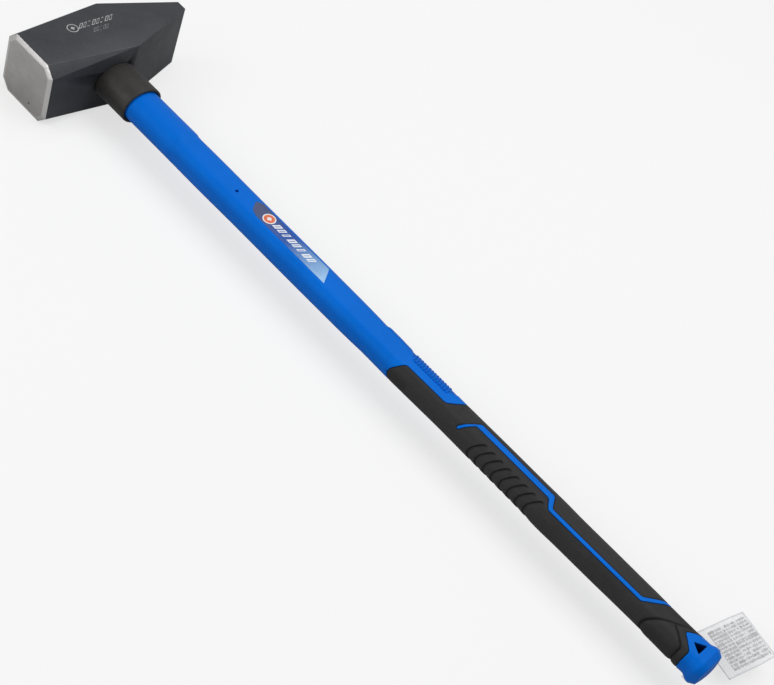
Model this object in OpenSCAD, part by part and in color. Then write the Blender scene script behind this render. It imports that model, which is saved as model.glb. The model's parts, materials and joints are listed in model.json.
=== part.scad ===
// Cross-peen sledgehammer with a moulded two-colour handle, lying on one cheek of its head.
// +X runs along the handle from the head to the butt, +Y along the head towards the peen,
// +Z up. The origin is on the lower cheek, under the point where the handle axis meets the
// middle of the head.

/* [Overall] */
// Length from the top of the head to the end of the butt
overall_len = 904; // [700:4:1200]

/* [Head] */
// Thickness of the head from cheek to cheek
head_t = 73; // [60:1:90]
// Height of the head along the handle
head_h = 73; // [60:1:90]
// Distance from the handle axis to the striking face
face_reach = 83.5; // [60:0.5:110]
// Distance from the handle axis to the edge of the peen
peen_reach = 111.5; // [90:0.5:140]
// Distance from the handle axis to the start of the peen's slope
peen_from = 25; // [22:1:40]
// Thickness of the peen's edge along the handle
peen_edge = 12.5; // [8:0.5:20]
// Chamfer of the long corners at the striking face
corner_cut = 11; // [6:0.5:16]
// Width of the ground bevel round the striking face
face_bevel = 5; // [2:0.5:8]
// Depth of the ground bevel round the striking face
face_bevel_depth = 2; // [1:0.25:4]
// Resin between the core and the waist of the eye
resin_wall = 2.4; // [1.5:0.1:3.5]
// How much the eye widens on each side at both mouths
eye_flare = 2.5; // [1:0.25:3]

/* [Core] */
// Width of the glass-fibre core along the head
core_w = 26; // [21.5:0.5:32]
// Thickness of the glass-fibre core across the head
core_t = 17.2; // [14:0.2:21]

/* [Handle] */
// Plastic over the core in the oval neck
neck_wall = 7.8; // [6.5:0.1:9.5]
// Plastic over the core in the shaft next to the neck
shaft_wall = 6; // [5:0.1:7.2]
// Plastic over the core under the soft grip
jacket_wall = 2.5; // [2:0.1:3.5]
// How far the butt flares on each side
butt_flare = 1.8; // [1:0.1:3]
// Corner radius of the flat-sided shaft
shaft_r = 12; // [9:0.5:12.5]
// Distance from the handle's shoulder to the head
neck_len = 112; // [90:1:140]
// Diameter of the locating hole in the jacket
locating_d = 3.6; // [2:0.2:5]
// Distance from the locating hole to the label
locating_gap = 20; // [12:1:30]

/* [Grip] */
// Length of the black grip on its finger side
grip_len = 392; // [340:1:450]
// How far the ribbed thumb panel reaches into the grip
thumb_len = 72; // [50:1:90]
// Thickness of the soft grip
grip_wall = 2.2; // [1.5:0.1:3]
// Width of the blue stripe from the thumb panel to its kink
stripe_w = 6.6; // [4:0.2:8]
// Width of the blue stripe from its kink to the butt
stripe_tail_w = 4.2; // [2:0.2:6]
// Number of finger pads
pad_count = 8; // [4:1:10]
// Distance from one finger pad to the next
pad_pitch = 10.4; // [8:0.1:12]
// Depth of the grooves between the finger pads
pad_groove = 0.9; // [0.4:0.1:1.2]
// Distance from one thumb rib to the next
rib_pitch = 3.6; // [2.6:0.1:4]
// Depth of the grooves between the thumb ribs
rib_groove = 0.6; // [0.3:0.1:1]

/* [Collar] */
// Length of the rubber collar
collar_len = 46.5; // [30:0.5:70]
// Wall of the rubber collar
collar_wall = 4.2; // [2.5:0.1:6]

/* [Butt] */
// Length of the cap's flared end, past the grip
cap_rim = 24; // [20:0.5:30]
// Length of the cap's pointed tab in the grip
cap_tab = 14; // [10:0.5:18]
// Side of the lanyard hole across the handle
lanyard_w = 14; // [10:0.5:16]
// Length of the lanyard hole along the handle
lanyard_len = 10.6; // [8:0.2:12]
// Distance from the lanyard hole to the butt's end
lanyard_end = 16.4; // [13:0.2:20]

/* [Label] */
// Length of the printed label along its upper edge
label_len = 104; // [70:1:130]
// Width of the printed label
label_w = 16.4; // [12:0.2:18]
// Slant of the printed label's ends along the handle
label_slant = 12; // [6:1:20]
// Thickness of the printed label
label_t = 0.2; // [0.1:0.05:0.4]

/* [Tag] */
// Length of the tag's film pocket along the handle
tag_len = 50; // [40:1:70]
// Width of the tag's film pocket away from the handle
tag_w = 60; // [45:1:80]
// Angle between the tag and the handle
tag_turn = 12.5; // [0:0.5:15]
// Clear margin of the film on either side of the card
tag_margin = 5; // [3:0.5:8]
// Clear margin of the film at the far end of the card
tag_hem = 3; // [2:0.5:6]
// Clear margin of the film between the card and the fold
tag_neck = 11; // [8:0.5:16]
// Thickness of the tag's film pocket
tag_t = 0.8; // [0.6:0.1:1.2]
// Thickness of the card in the pocket
card_t = 0.3; // [0.2:0.05:0.4]
// Thickness of the film tail that is stuck under the butt
tail_t = 0.5; // [0.3:0.1:0.8]
// How far the film tail reaches past the middle of the butt
tail_reach = 12; // [4:0.5:14]
// How far out of the butt's side the tail carries the fold
tail_out = 15.3; // [8:0.1:20]
// Gap at the fold between the tail and the pocket
fold_gap = 0.8; // [0.7:0.1:1.5]

/* [Hidden] */

// Room that a cutting shape takes past the faces it cuts
past = 1;
// Half of a width that is larger than the whole handle
reach = 40;
// Points on one corner of a handle section
corner_points = 10;
round_fn = 32;

mid_z = head_t / 2;
top_x = -head_h / 2;
under_x = head_h / 2;
butt_x = overall_len + top_x;
collar_x = under_x + collar_len;
shoulder_x = under_x + neck_len;
grip_x = butt_x - grip_len;
thumb_x = grip_x + thumb_len;
// The label lies half-way along the bare blue shaft
label_x = (shoulder_x + grip_x - label_len - label_slant) / 2;
cap_x = butt_x - cap_rim;
tip_x = cap_x - cap_tab;
// Where the core and the jacket end and the cap's plug starts
plug_x = tip_x - 6;

eye_len = core_w + 2 * resin_wall;
eye_w = core_t + 2 * resin_wall;
neck_w = core_w + 2 * neck_wall;
neck_t = core_t + 2 * neck_wall;
shaft_w = core_w + 2 * shaft_wall;
shaft_t = core_t + 2 * shaft_wall;
grip_w = core_w + 2 * (jacket_wall + grip_wall);
grip_t = core_t + 2 * (jacket_wall + grip_wall);
butt_w = grip_w + 2 * butt_flare;
butt_t = grip_t + 2 * butt_flare;
butt_z = mid_z - butt_t / 2;

// Half-way reach of the thumb panel and of the stripe from the middle of the handle
panel_y = -0.175 * grip_w;
stripe_y = 0.105 * grip_w;
tail_y = -0.21 * grip_w;
flank_y = grip_w / 2;
kink_x = butt_x - 200;

// Where the tag folds, out beside the butt
fold_x = butt_x - 10;
fold_y = 0.85 * flank_y + tail_out;

blue = [0.0, 0.36, 0.80];
black = [0.13, 0.13, 0.13];

// ---- Handle sections ----

// One section: its place, width, thickness, corner radius, and 0 for an oval or 1 for flat sides
function section(x, w, t, r, flat) = [x, w, t, r, flat];

// A section of the domed butt, at a distance from its end and moved in on each side
function butt_section(back, in) =
  section(butt_x - back, butt_w - 2 * in, butt_t - 2 * in, shaft_r - in, 1);

// The handle from the head to the butt
HANDLE = [
  section(under_x, neck_w, neck_t, shaft_r, 0),
  section(shoulder_x, neck_w, neck_t, shaft_r, 0),
  section(shoulder_x + 6, 0.5 * (neck_w + shaft_w), 0.5 * (neck_t + shaft_t), shaft_r, 0.45),
  section(shoulder_x + 12, shaft_w, shaft_t, shaft_r, 0.9),
  section(shoulder_x + 40, shaft_w, shaft_t, shaft_r, 1),
  section(grip_x - 40, grip_w, grip_t, shaft_r, 1),
  section(grip_x - 4, grip_w + 0.8, grip_t + 0.4, shaft_r, 1),
  section(thumb_x, grip_w + 0.8, grip_t + 0.4, shaft_r, 1),
  section(kink_x, grip_w, grip_t, shaft_r, 1),
  section(butt_x - 80, grip_w - 0.4, grip_t - 0.2, shaft_r, 1),
  section(butt_x - 52, grip_w, grip_t, shaft_r, 1),
  section(cap_x, grip_w + 0.6, grip_t + 0.6, shaft_r, 1),
  butt_section(12, 0),
  butt_section(7.5, 0),
  butt_section(4.6, 0.8),
  butt_section(3, 2),
  butt_section(2.2, 3.4),
  butt_section(0.8, 0.6 * shaft_r),
  butt_section(0, 0.9 * shaft_r)
];

// The same sections, moved in by a wall or, where it is negative, out by a film
function inset(sections, wall) = [
  for (s = sections) section(s[0], s[1] - 2 * wall, s[2] - 2 * wall, s[3] - wall, s[4])
];

function corner_angle(i) = 90 * floor(i / corner_points)
  + 90 * (i % corner_points + 0.5) / corner_points;
function side(value) = value > 0 ? 1 : -1;

// Point i on the outline of a section
function outline_point(s, i) =
  let (a = corner_angle(i), c = cos(a), d = sin(a))
  let (oval = [s[1] / 2 * c, s[2] / 2 * d])
  let (slab = [
    side(c) * (s[1] / 2 - s[3]) + s[3] * c,
    side(d) * (s[2] / 2 - s[3]) + s[3] * d
  ])
  let (p = oval * (1 - s[4]) + slab * s[4])
  [s[0], p[0], mid_z + p[1]];

// A closed shape through a row of sections along the handle
module loft(sections) {
  n = 4 * corner_points;
  last = len(sections) - 1;
  points = [for (s = sections) for (i = [0:n - 1]) outline_point(s, i)];
  walls = [
    for (j = [0:last - 1]) for (i = [0:n - 1]) for (half = [0, 1])
      let (k = (i + 1) % n, a = j * n, b = (j + 1) * n)
      half == 0 ? [a + i, b + i, a + k] : [b + i, b + k, a + k]
  ];
  ends = [[for (i = [0:n - 1]) i], [for (i = [n - 1:-1:0]) last * n + i]];
  polyhedron(points, concat(walls, ends), convexity = 6);
}

// ---- Outlines seen from above ----

// A band of one width through a row of points
module band(path, w) {
  for (i = [0:len(path) - 2])
    let (d = path[i + 1] - path[i], n = [-d[1], d[0]] * w / 2 / norm(d))
    polygon([path[i] - n, path[i + 1] - n, path[i + 1] + n, path[i] + n]);
  for (p = [for (i = [1:len(path) - 2]) path[i]])
    translate(p) circle(d = w, $fn = round_fn);
}

// The blue shaft with its thumb panel, which reaches into the grip
module shaft_outline() {
  polygon([
    [under_x - past, -reach],
    [grip_x, -reach],
    [grip_x + 1, -flank_y],
    [grip_x + 6, panel_y - 6],
    [grip_x + 10, panel_y],
    [thumb_x - 13, panel_y],
    [thumb_x - 10, panel_y + 2],
    [thumb_x, stripe_y + 5],
    [thumb_x + 4, flank_y],
    [thumb_x + 4, reach],
    [under_x - past, reach]
  ]);
}

// The blue stripe that shows in the grip
module stripe_outline() {
  band(
    [
      [thumb_x + 13, -0.8 * flank_y], [thumb_x + 18, -0.43 * flank_y], [thumb_x + 25, stripe_y],
      [kink_x, stripe_y]
    ],
    stripe_w
  );
  band(
    [
      [kink_x, stripe_y], [kink_x + 7, tail_y], [butt_x - 82, tail_y],
      [butt_x - 73, 0.06 * grip_w], [butt_x - 64, 0.28 * grip_w], [butt_x - 54, reach]
    ],
    stripe_tail_w
  );
}

// The flared end of the cap with its pointed tab
module cap_outline() {
  polygon([
    [tip_x, 0],
    [cap_x, cap_tab],
    [cap_x + 1, reach],
    [butt_x + past, reach],
    [butt_x + past, -reach],
    [cap_x + 1, -reach],
    [cap_x, -cap_tab]
  ]);
}

module lanyard_outline() {
  base_x = butt_x - lanyard_end;
  polygon([
    [base_x - lanyard_len, 0], [base_x, -lanyard_w / 2], [base_x, lanyard_w / 2]
  ]);
}

module label_outline() {
  w = label_w / 2;
  far_x = label_x + label_len;
  translate([0, 1]) polygon([
    [label_x, 0.4 * w],
    [label_x + 0.5 * label_slant, w],
    [far_x, w],
    [far_x + label_slant, -w],
    [label_x + 1.5 * label_slant, -w],
    [label_x + 0.5 * label_slant, -0.4 * w]
  ]);
}

// Cuts straight down through the whole handle
module through() {
  translate([0, 0, -past]) linear_extrude(head_t + 2 * past) children();
}

// Everything past one place along the handle
module beyond(x) {
  translate([x, -reach, -past]) cube([overall_len, 2 * reach, head_t + 2 * past]);
}

// ---- Head ----

module head_profile() {
  h = head_h / 2;
  e = peen_edge / 2;
  r = 2;
  polygon(concat(
    [[-h, -face_reach], [h, -face_reach], [h, peen_from]],
    [for (a = [15:15:90]) [e - r + r * cos(a), peen_reach - r + r * sin(a)]],
    [for (a = [90:15:165]) [-e + r + r * cos(a), peen_reach - r + r * sin(a)]],
    [[-h, peen_from]]
  ));
}

// The four long edges of the head, each as one quarter drawn from the middle of the head
module each_long_edge() {
  for (flip = [0, 1], turn = [0, 1])
    translate([0, 0, mid_z])
      mirror([flip, 0, 0])
        mirror([0, 0, turn])
          children();
}

// Cuts one long edge, from its full chamfer at the face to nothing at the peen's slope
module edge_cutter() {
  run = face_reach + peen_from;
  lean = atan(corner_cut / sqrt(2) / run);
  translate([head_h / 2, peen_from, head_t / 2])
    rotate([0, -45, 0])
      rotate([0, 0, -lean])
        translate([0, -2 * run, -head_t])
          cube([head_h, 3 * run, 2 * head_t]);
}

// Cuts the ground bevel along one side of the striking face, at a distance from its centre
module bevel_cutter(turn, distance) {
  size = 2 * head_t;
  translate([0, 0, mid_z])
    rotate([0, turn, 0])
      translate([distance, face_bevel_depth - face_reach, 0])
        rotate([0, 0, atan(face_bevel_depth / face_bevel)])
          translate([-size / 2, -size, -size / 2])
            cube(size);
}

// The waisted eye, from mouth to mouth
module eye_form() {
  for (way = [-1, 1])
    hull() {
      translate([0, 0, mid_z]) eye_slice(0);
      translate([way * (head_h / 2 + past), 0, mid_z]) eye_slice(eye_flare);
    }
}

module eye_slice(extra) {
  rotate([0, 90, 0])
    linear_extrude(0.02, center = true)
      oblong(eye_len + 2 * extra, eye_w + 2 * extra);
}

// A flat shape with round ends, lying with its length along Y
module oblong(l, w) {
  square([w, l - w], center = true);
  for (way = [-1, 1])
    translate([0, way * (l - w) / 2]) circle(d = w, $fn = round_fn);
}

module head() {
  corner_distance = (head_h / 2 + head_t / 2 - corner_cut) / sqrt(2);
  color([0.24, 0.25, 0.27])
    difference() {
      linear_extrude(head_t) head_profile();
      eye_form();
      each_long_edge() edge_cutter();
      for (turn = [0, 180]) bevel_cutter(turn, head_h / 2);
      for (turn = [90, 270]) bevel_cutter(turn, head_t / 2);
      for (turn = [45:90:315]) bevel_cutter(turn, corner_distance);
    }
}

// ---- Core and resin ----

module core_form(from, to) {
  translate([from, 0, mid_z])
    rotate([0, 90, 0])
      linear_extrude(to - from) oblong(core_w, core_t);
}

module core_rod() {
  color([0.86, 0.82, 0.62]) core_form(top_x, plug_x);
}

module eye_resin() {
  color([0.16, 0.14, 0.12])
    difference() {
      intersection() {
        eye_form();
        translate([top_x, -reach, 0]) cube([head_h, 2 * reach, head_t]);
      }
      core_form(top_x - past, under_x + past);
    }
}

// ---- Handle ----

module full_form() {
  loft(HANDLE);
}

// What lies under the soft grip
module under_form() {
  loft(inset(HANDLE, grip_wall));
}

module locating_hole() {
  off_centre = 2.2;
  translate([label_x - locating_gap, -off_centre, mid_z])
    cylinder(h = reach, d = locating_d);
}

// The grooves between the thumb ribs, as deep as rib_groove all round the corner
module rib_grooves() {
  rib_count = floor((thumb_len - 16) / rib_pitch);
  difference() {
    for (i = [0:rib_count - 1])
      translate([grip_x + i * rib_pitch, 0.45 * flank_y, 0])
        cube([rib_pitch / 2, reach, head_t]);
    loft(inset(HANDLE, rib_groove));
  }
}

module handle_jacket() {
  color(blue)
    difference() {
      union() {
        intersection() {
          full_form();
          through() {
            shaft_outline();
            stripe_outline();
          }
        }
        difference() {
          under_form();
          beyond(plug_x);
        }
      }
      core_form(under_x - past, plug_x + past);
      locating_hole();
      rib_grooves();
    }
}

module grip_sleeve() {
  groove_r = 2.6;
  pads_x = thumb_x + 38;
  color(black)
    difference() {
      full_form();
      under_form();
      through() {
        shaft_outline();
        stripe_outline();
        cap_outline();
      }
      for (i = [0:pad_count - 1])
        translate([pads_x + i * pad_pitch, pad_groove - flank_y - groove_r, -past])
          cylinder(h = head_t + 2 * past, r = groove_r);
    }
}

module neck_collar() {
  w = neck_w + 2 * collar_wall;
  t = neck_t + 2 * collar_wall;
  lip = 1.2;
  color(black)
    difference() {
      loft([
        section(under_x, w, t, shaft_r, 0),
        section(collar_x - 2.5 * lip, w, t, shaft_r, 0),
        section(collar_x - lip, w - lip, t - lip, shaft_r, 0),
        section(collar_x, w - 3 * lip, t - 3 * lip, shaft_r, 0)
      ]);
      loft([
        section(under_x - past, neck_w, neck_t, shaft_r, 0),
        section(collar_x + past, neck_w, neck_t, shaft_r, 0)
      ]);
    }
}

module butt_cap() {
  color(blue)
    difference() {
      union() {
        intersection() {
          full_form();
          through() cap_outline();
        }
        intersection() {
          under_form();
          beyond(plug_x);
        }
      }
      through() lanyard_outline();
    }
}

module handle_label() {
  color([0.35, 0.62, 0.90])
    difference() {
      intersection() {
        loft(inset(HANDLE, -label_t));
        translate([0, 0, mid_z]) linear_extrude(mid_z) label_outline();
      }
      full_form();
    }
}

// ---- Tag ----

// Draws at the tag's fold: +X along the fold, +Y away from the handle, and 0 on top
module at_fold() {
  translate([fold_x, fold_y, butt_z])
    rotate([0, 0, -tag_turn])
      children();
}

// The film stuck under the flare of the butt, clear of the lanyard hole, up to the fold
module tag_tail() {
  from_x = butt_x - lanyard_end + 1.4;
  to_x = butt_x - 7.5;
  fold_end = fold_y - fold_gap / cos(tag_turn);
  color([0.90, 0.92, 0.95])
    translate([0, 0, butt_z - tail_t])
      linear_extrude(tail_t)
        polygon([
          [from_x, -tail_reach],
          [to_x, -tail_reach],
          [to_x, fold_end - (to_x - fold_x) * tan(tag_turn)],
          [from_x, fold_end - (from_x - fold_x) * tan(tag_turn)]
        ]);
}

// The room in the pocket that the card fills
module card_space() {
  l = tag_len - 2 * tag_margin;
  w = tag_w - tag_neck - tag_hem;
  translate([-l / 2, tag_neck, -tag_t / 2 - card_t / 2]) cube([l, w, card_t]);
}

// The clear pocket round the card
module tag_pocket() {
  color([0.90, 0.92, 0.95, 0.5])
    at_fold()
      difference() {
        translate([-tag_len / 2, 0, -tag_t]) cube([tag_len, tag_w, tag_t]);
        card_space();
      }
}

module tag_card() {
  color([0.96, 0.96, 0.96]) at_fold() card_space();
}

head();
eye_resin();
core_rod();
handle_jacket();
grip_sleeve();
neck_collar();
butt_cap();
handle_label();
tag_tail();
tag_pocket();
tag_card();
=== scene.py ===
"""Cross-peen sledgehammer with a moulded two-colour handle, lying on one cheek of its head.

+X runs along the handle from the head to the butt, +Y along the head towards the peen, +Z up.
Shapes are worked out in millimetres and become metres when a mesh is made.
A place on the handle is (x, s): x along it, and s round it from the middle of the upper flat.
"""

import json
import math

import bmesh
import bpy
import numpy as np
from mathutils import Matrix, Vector
from mathutils.geometry import delaunay_2d_cdt


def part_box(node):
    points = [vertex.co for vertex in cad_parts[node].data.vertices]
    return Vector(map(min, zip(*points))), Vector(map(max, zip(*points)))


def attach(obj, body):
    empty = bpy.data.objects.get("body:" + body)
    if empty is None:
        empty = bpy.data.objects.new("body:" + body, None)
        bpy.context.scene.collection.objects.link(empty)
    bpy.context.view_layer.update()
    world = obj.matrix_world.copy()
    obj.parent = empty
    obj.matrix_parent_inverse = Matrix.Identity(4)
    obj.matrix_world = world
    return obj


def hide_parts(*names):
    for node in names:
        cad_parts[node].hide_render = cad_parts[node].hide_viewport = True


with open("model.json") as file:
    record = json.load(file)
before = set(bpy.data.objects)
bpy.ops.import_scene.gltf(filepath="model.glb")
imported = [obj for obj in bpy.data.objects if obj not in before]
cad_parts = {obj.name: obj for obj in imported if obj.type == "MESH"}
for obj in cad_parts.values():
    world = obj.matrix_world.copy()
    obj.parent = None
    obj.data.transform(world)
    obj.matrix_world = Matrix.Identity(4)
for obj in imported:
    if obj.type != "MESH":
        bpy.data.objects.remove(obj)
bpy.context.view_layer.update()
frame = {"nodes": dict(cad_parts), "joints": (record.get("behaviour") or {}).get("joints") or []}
MM = 0.001
HAMMER = "hammer"
TAG = "tag"


# ---- Sizes, read from the frame where it holds them ----


def box_mm(node):
    """Lowest and highest corner of a CAD node, in millimetres."""
    low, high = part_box(node)
    return np.array(low) / MM, np.array(high) / MM


HEAD_LOW, HEAD_HIGH = box_mm("head")
JACKET_LOW, JACKET_HIGH = box_mm("handle_jacket")
CORE_LOW, CORE_HIGH = box_mm("core_rod")
SLEEVE_LOW = box_mm("grip_sleeve")[0]
COLLAR_LOW, COLLAR_HIGH = box_mm("neck_collar")
CAP_LOW, CAP_HIGH = box_mm("butt_cap")
LABEL_LOW, LABEL_HIGH = box_mm("handle_label")
POCKET_LOW, POCKET_HIGH = box_mm("tag_pocket")

MID_Z = HEAD_HIGH[2] / 2
TOP_X, UNDER_X = HEAD_LOW[0], HEAD_HIGH[0]
GRIP_X = SLEEVE_LOW[0]
PLUG_X = CAP_LOW[0]
BUTT_X = CAP_HIGH[0]
SHOULDER_X = UNDER_X + 112
THUMB_X = GRIP_X + 72
KINK_X = PLUG_X - 156
# Where the hand's stop and the cap's waist are measured from
WAIST_X = PLUG_X + 40

CORE_SIZE = (CORE_HIGH - CORE_LOW)[1:]
NECK_SIZE = (JACKET_HIGH - JACKET_LOW)[1:]
BUTT_SIZE = (CAP_HIGH - CAP_LOW)[1:]
SHAFT_WALL = 6.0
GRIP_WALL = 2.2
UNDER_GRIP_WALL = 2.5
SHAFT_SIZE = CORE_SIZE + 2 * SHAFT_WALL
GRIP_SIZE = CORE_SIZE + 2 * (GRIP_WALL + UNDER_GRIP_WALL)
CORNER = 12.0
# How far the neck sits towards the peen, and the gap inside the collar
NECK_LEAN = 0.8
COLLAR_CLEARANCE = 1.1

# The butt's slanted rim: where it starts, how far it reaches along, and how far in
RIM_X = BUTT_X - 7.5
RIM_REACH = 5.2
RIM_INSET = 3.2
RIM_RUN = math.hypot(RIM_REACH, RIM_INSET)


# ---- The handle's surface ----

# Place along the handle, width, 0 for an oval or 1 for flat sides, and lean towards the peen
STATIONS = np.array([(UNDER_X, NECK_SIZE[0] + 0.8, 0, NECK_LEAN),
    (SHOULDER_X - 1, NECK_SIZE[0] + 0.8, 0, NECK_LEAN), (SHOULDER_X + 6, SHAFT_SIZE[0], 0.9, 0.1),
    (SHOULDER_X + 40, SHAFT_SIZE[0], 1, 0), (SHOULDER_X + 118, 37.3, 1, 0),
    (GRIP_X - 161, 37.3, 1, 0), (GRIP_X - 75, 36.8, 1, 0), (GRIP_X - 49, 36.2, 1, 0),
    (GRIP_X - 35, 35.6, 1, 0), (GRIP_X, 35.8, 1, 0), (GRIP_X + 35, 35.6, 1, 0.35),
    (THUMB_X, 35.1, 1, 0.55), (THUMB_X + 52, 35.4, 1, 0.55), (KINK_X - 17, 35.5, 1, 0.35),
    (KINK_X + 8, 36.1, 1, 0), (KINK_X + 33, 35.5, 1, 0.15), (KINK_X + 73, 35.3, 1, 0.55),
    (PLUG_X - 53, 34.9, 1, 0.95), (PLUG_X - 29, 34.7, 1, 1.2), (PLUG_X - 8, 34.5, 1, 1.05),
    (PLUG_X + 11, 34.75, 1, 1.0), (PLUG_X + 19, 35.6, 1, 0.75), (PLUG_X + 27, 35.5, 1, 1.2),
    (RIM_X - 2, BUTT_SIZE[0], 1, 0.7), (BUTT_X, BUTT_SIZE[0], 1, 0.7)])
# How much wider than thick the handle is, all along
OVAL = CORE_SIZE[0] - CORE_SIZE[1]

HALF_FLAT = GRIP_SIZE[0] / 2 - CORNER
ARC = CORNER * math.pi / 2
HALF_SIDE = GRIP_SIZE[1] / 2 - CORNER
# The way from the middle of the upper flat to the middle of a side
QUARTER = HALF_FLAT + ARC + HALF_SIDE
# The handle's far end, along the surface and over its rim
SKIN_END = RIM_X + RIM_RUN


def smooth_between(x, xs, ys):
    """A smooth curve through given points that never overshoots them."""
    step = np.diff(xs)
    slope = np.diff(ys) / step
    tangent = np.zeros(len(xs))
    both = slope[:-1] * slope[1:]
    total = slope[:-1] + slope[1:]
    tangent[1:-1] = np.where(both > 0, 2 * both / np.where(total == 0, 1, total), 0)
    i = np.clip(np.searchsorted(xs, x, side="right") - 1, 0, len(step) - 1)
    t = np.clip((x - xs[i]) / step[i], 0, 1)
    rise = (3 - 2 * t) * t * t
    ease_in = t * (1 - t) ** 2 * step[i] * tangent[i]
    ease_out = t * t * (t - 1) * step[i] * tangent[i + 1]
    return ys[i] + (ys[i + 1] - ys[i]) * rise + ease_in + ease_out


def handle_points(x, s, height, below=False):
    """Points of the handle's surface, raised by height; below gives its lower half."""
    x, s = np.asarray(x, float), np.asarray(s, float)
    over = np.clip((x - RIM_X) / RIM_RUN, 0, 1)
    place = np.where(over > 0, RIM_X + RIM_REACH * over, x)
    width, flat, lean = (smooth_between(place, STATIONS[:, 0], STATIONS[:, k]) for k in (1, 2, 3))
    thick = width - OVAL
    a, b, q, side = width / 2, thick / 2, np.abs(s), np.sign(s)
    round_oval = q / QUARTER * math.pi / 2
    corner = np.clip((q - HALF_FLAT) / CORNER, 0, math.pi / 2)
    down = np.clip((q - HALF_FLAT - ARC) / HALF_SIDE, 0, 1)
    slab_y = (a - CORNER) * np.clip(q / HALF_FLAT, 0, 1) + CORNER * np.sin(corner)
    slab_z = (b - CORNER) * (1 - down) + CORNER * np.cos(corner)
    y = (1 - flat) * a * np.sin(round_oval) + flat * slab_y
    z = (1 - flat) * b * np.cos(round_oval) + flat * slab_z
    out_y = (1 - flat) * np.sin(round_oval) / a + flat * np.sin(corner) / CORNER
    out_z = (1 - flat) * np.cos(round_oval) / b + flat * np.cos(corner) / CORNER
    size = np.hypot(out_y, out_z)
    inset = RIM_INSET * over - height
    y, z = side * (y - inset * out_y / size), z - inset * out_z / size
    return np.stack([place, y + lean, MID_Z + (-z if below else z)], -1)


def core_points(x, s, below=False):
    """Points of the core's outline, one for each s."""
    width, thick = CORE_SIZE
    turn = np.asarray(s, float) / QUARTER * math.pi / 2
    y = np.sign(turn) * (width - thick) / 2 * np.clip(np.abs(turn) * 2, 0, 1)
    y = y + thick / 2 * np.sin(turn)
    z = thick / 2 * np.cos(turn)
    return np.stack([np.full(y.shape, float(x)), y, MID_Z + (-z if below else z)], -1)


# ---- Outlines on the handle, as (x, s) ----


def resample(line, step):
    """The same line with its points no further apart than a step."""
    out = [line[0]]
    for a, b in zip(line[:-1], line[1:]):
        n = max(1, math.ceil(math.dist(a, b) / step))
        out += [tuple(np.array(a) + (np.array(b) - a) * k / n) for k in range(1, n + 1)]
    return out


def rounded(line, cut, closed=False):
    """The same line with each corner cut twice, so that it reads as a round one."""
    pts = [np.array(p, float) for p in line]
    for reach in (cut, cut * 0.45):
        ring = pts + [pts[0]] if closed else pts
        out = [] if closed else [pts[0]]
        spans = list(zip(ring[:-1], ring[1:]))
        for k, (a, b) in enumerate(spans):
            d = b - a
            length = np.linalg.norm(d)
            near = min(reach, length / 3)
            if closed or k > 0:
                out.append(a + d / length * near)
            if closed or k < len(spans) - 1:
                out.append(b - d / length * near)
        if not closed:
            out.append(pts[-1])
        pts = out
    return [tuple(p) for p in pts]


# The edge between the blue shaft with its thumb panel and the black grip
PANEL_EDGE = rounded([(GRIP_X - 1.2, -QUARTER), (GRIP_X + 0.2, -20), (GRIP_X + 3.8, -15),
    (GRIP_X + 9.2, -6.2), (THUMB_X - 11.2, -6.2), (THUMB_X - 4.4, 2.4), (THUMB_X, 10),
    (THUMB_X + 1.5, 16), (THUMB_X + 1.5, QUARTER)], 1.6)
# The blue stripe that shows in the grip, down its head side and back up its butt side
STRIPE = rounded([(THUMB_X + 12.2, -15.4), (THUMB_X + 19.5, -2.0), (THUMB_X + 25.8, 7.0),
    (KINK_X + 0.6, 7.0), (KINK_X + 8.6, -5.2), (WAIST_X - 79.4, -5.2), (WAIST_X - 67.5, 7.2),
    (WAIST_X - 61.5, 14), (WAIST_X - 58.5, QUARTER), (WAIST_X - 54.5, QUARTER),
    (WAIST_X - 57.0, 14), (WAIST_X - 66.5, 2.2), (WAIST_X - 77.2, -9.6), (KINK_X + 6.4, -9.6),
    (KINK_X - 1.6, 0.4), (THUMB_X + 24.2, 0.4), (THUMB_X + 15.2, -16.8)], 1.1, closed=True)
# The edge between the black grip and the cap, with the cap's pointed tab
TIP_X = PLUG_X + 6
CAP_EDGE = rounded([(TIP_X + 14.3, -QUARTER), (TIP_X + 14.8, -11.2), (TIP_X + 0.5, 1.8),
    (TIP_X + 4.5, 6.5), (TIP_X + 10.5, 11.5), (TIP_X + 16.5, 16.0), (TIP_X + 21.5, 18.5),
    (TIP_X + 21.5, QUARTER)], 1.2)
LANYARD_BASE_X = WAIST_X - 12.4
LANYARD = rounded([(LANYARD_BASE_X - 10.6, 0), (LANYARD_BASE_X, -7.1), (LANYARD_BASE_X, 7.1)],
    0.8, closed=True)
LABEL_MID_S = 1.0
LABEL = rounded([(LABEL_LOW[0], LABEL_MID_S + 3.2), (LABEL_LOW[0] + 6, LABEL_MID_S + 8.2),
    (LABEL_HIGH[0] - 12, LABEL_MID_S + 8.2), (LABEL_HIGH[0], LABEL_MID_S - 8.2),
    (LABEL_LOW[0] + 15, LABEL_MID_S - 8.0), (LABEL_LOW[0] + 7, LABEL_MID_S - 5.4)], 0.7,
    closed=True)
HOLE_CENTRE = (LABEL_LOW[0] - 20, -2.2)
HOLE_RADIUS = 1.8
HOLE = [(HOLE_CENTRE[0] + HOLE_RADIUS * math.cos(a),
    HOLE_CENTRE[1] + HOLE_RADIUS * math.sin(a)) for a in np.arange(24) * math.pi / 12]

# The raised panel with the thumb ribs
RIB_PANEL = rounded([(GRIP_X - 3.0, QUARTER + 5), (GRIP_X - 2.0, 13), (GRIP_X + 9.0, 2.0),
    (THUMB_X - 21.2, 2.0), (THUMB_X - 12.2, 10.5), (THUMB_X - 8.2, QUARTER + 5)], 1.0)
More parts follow.
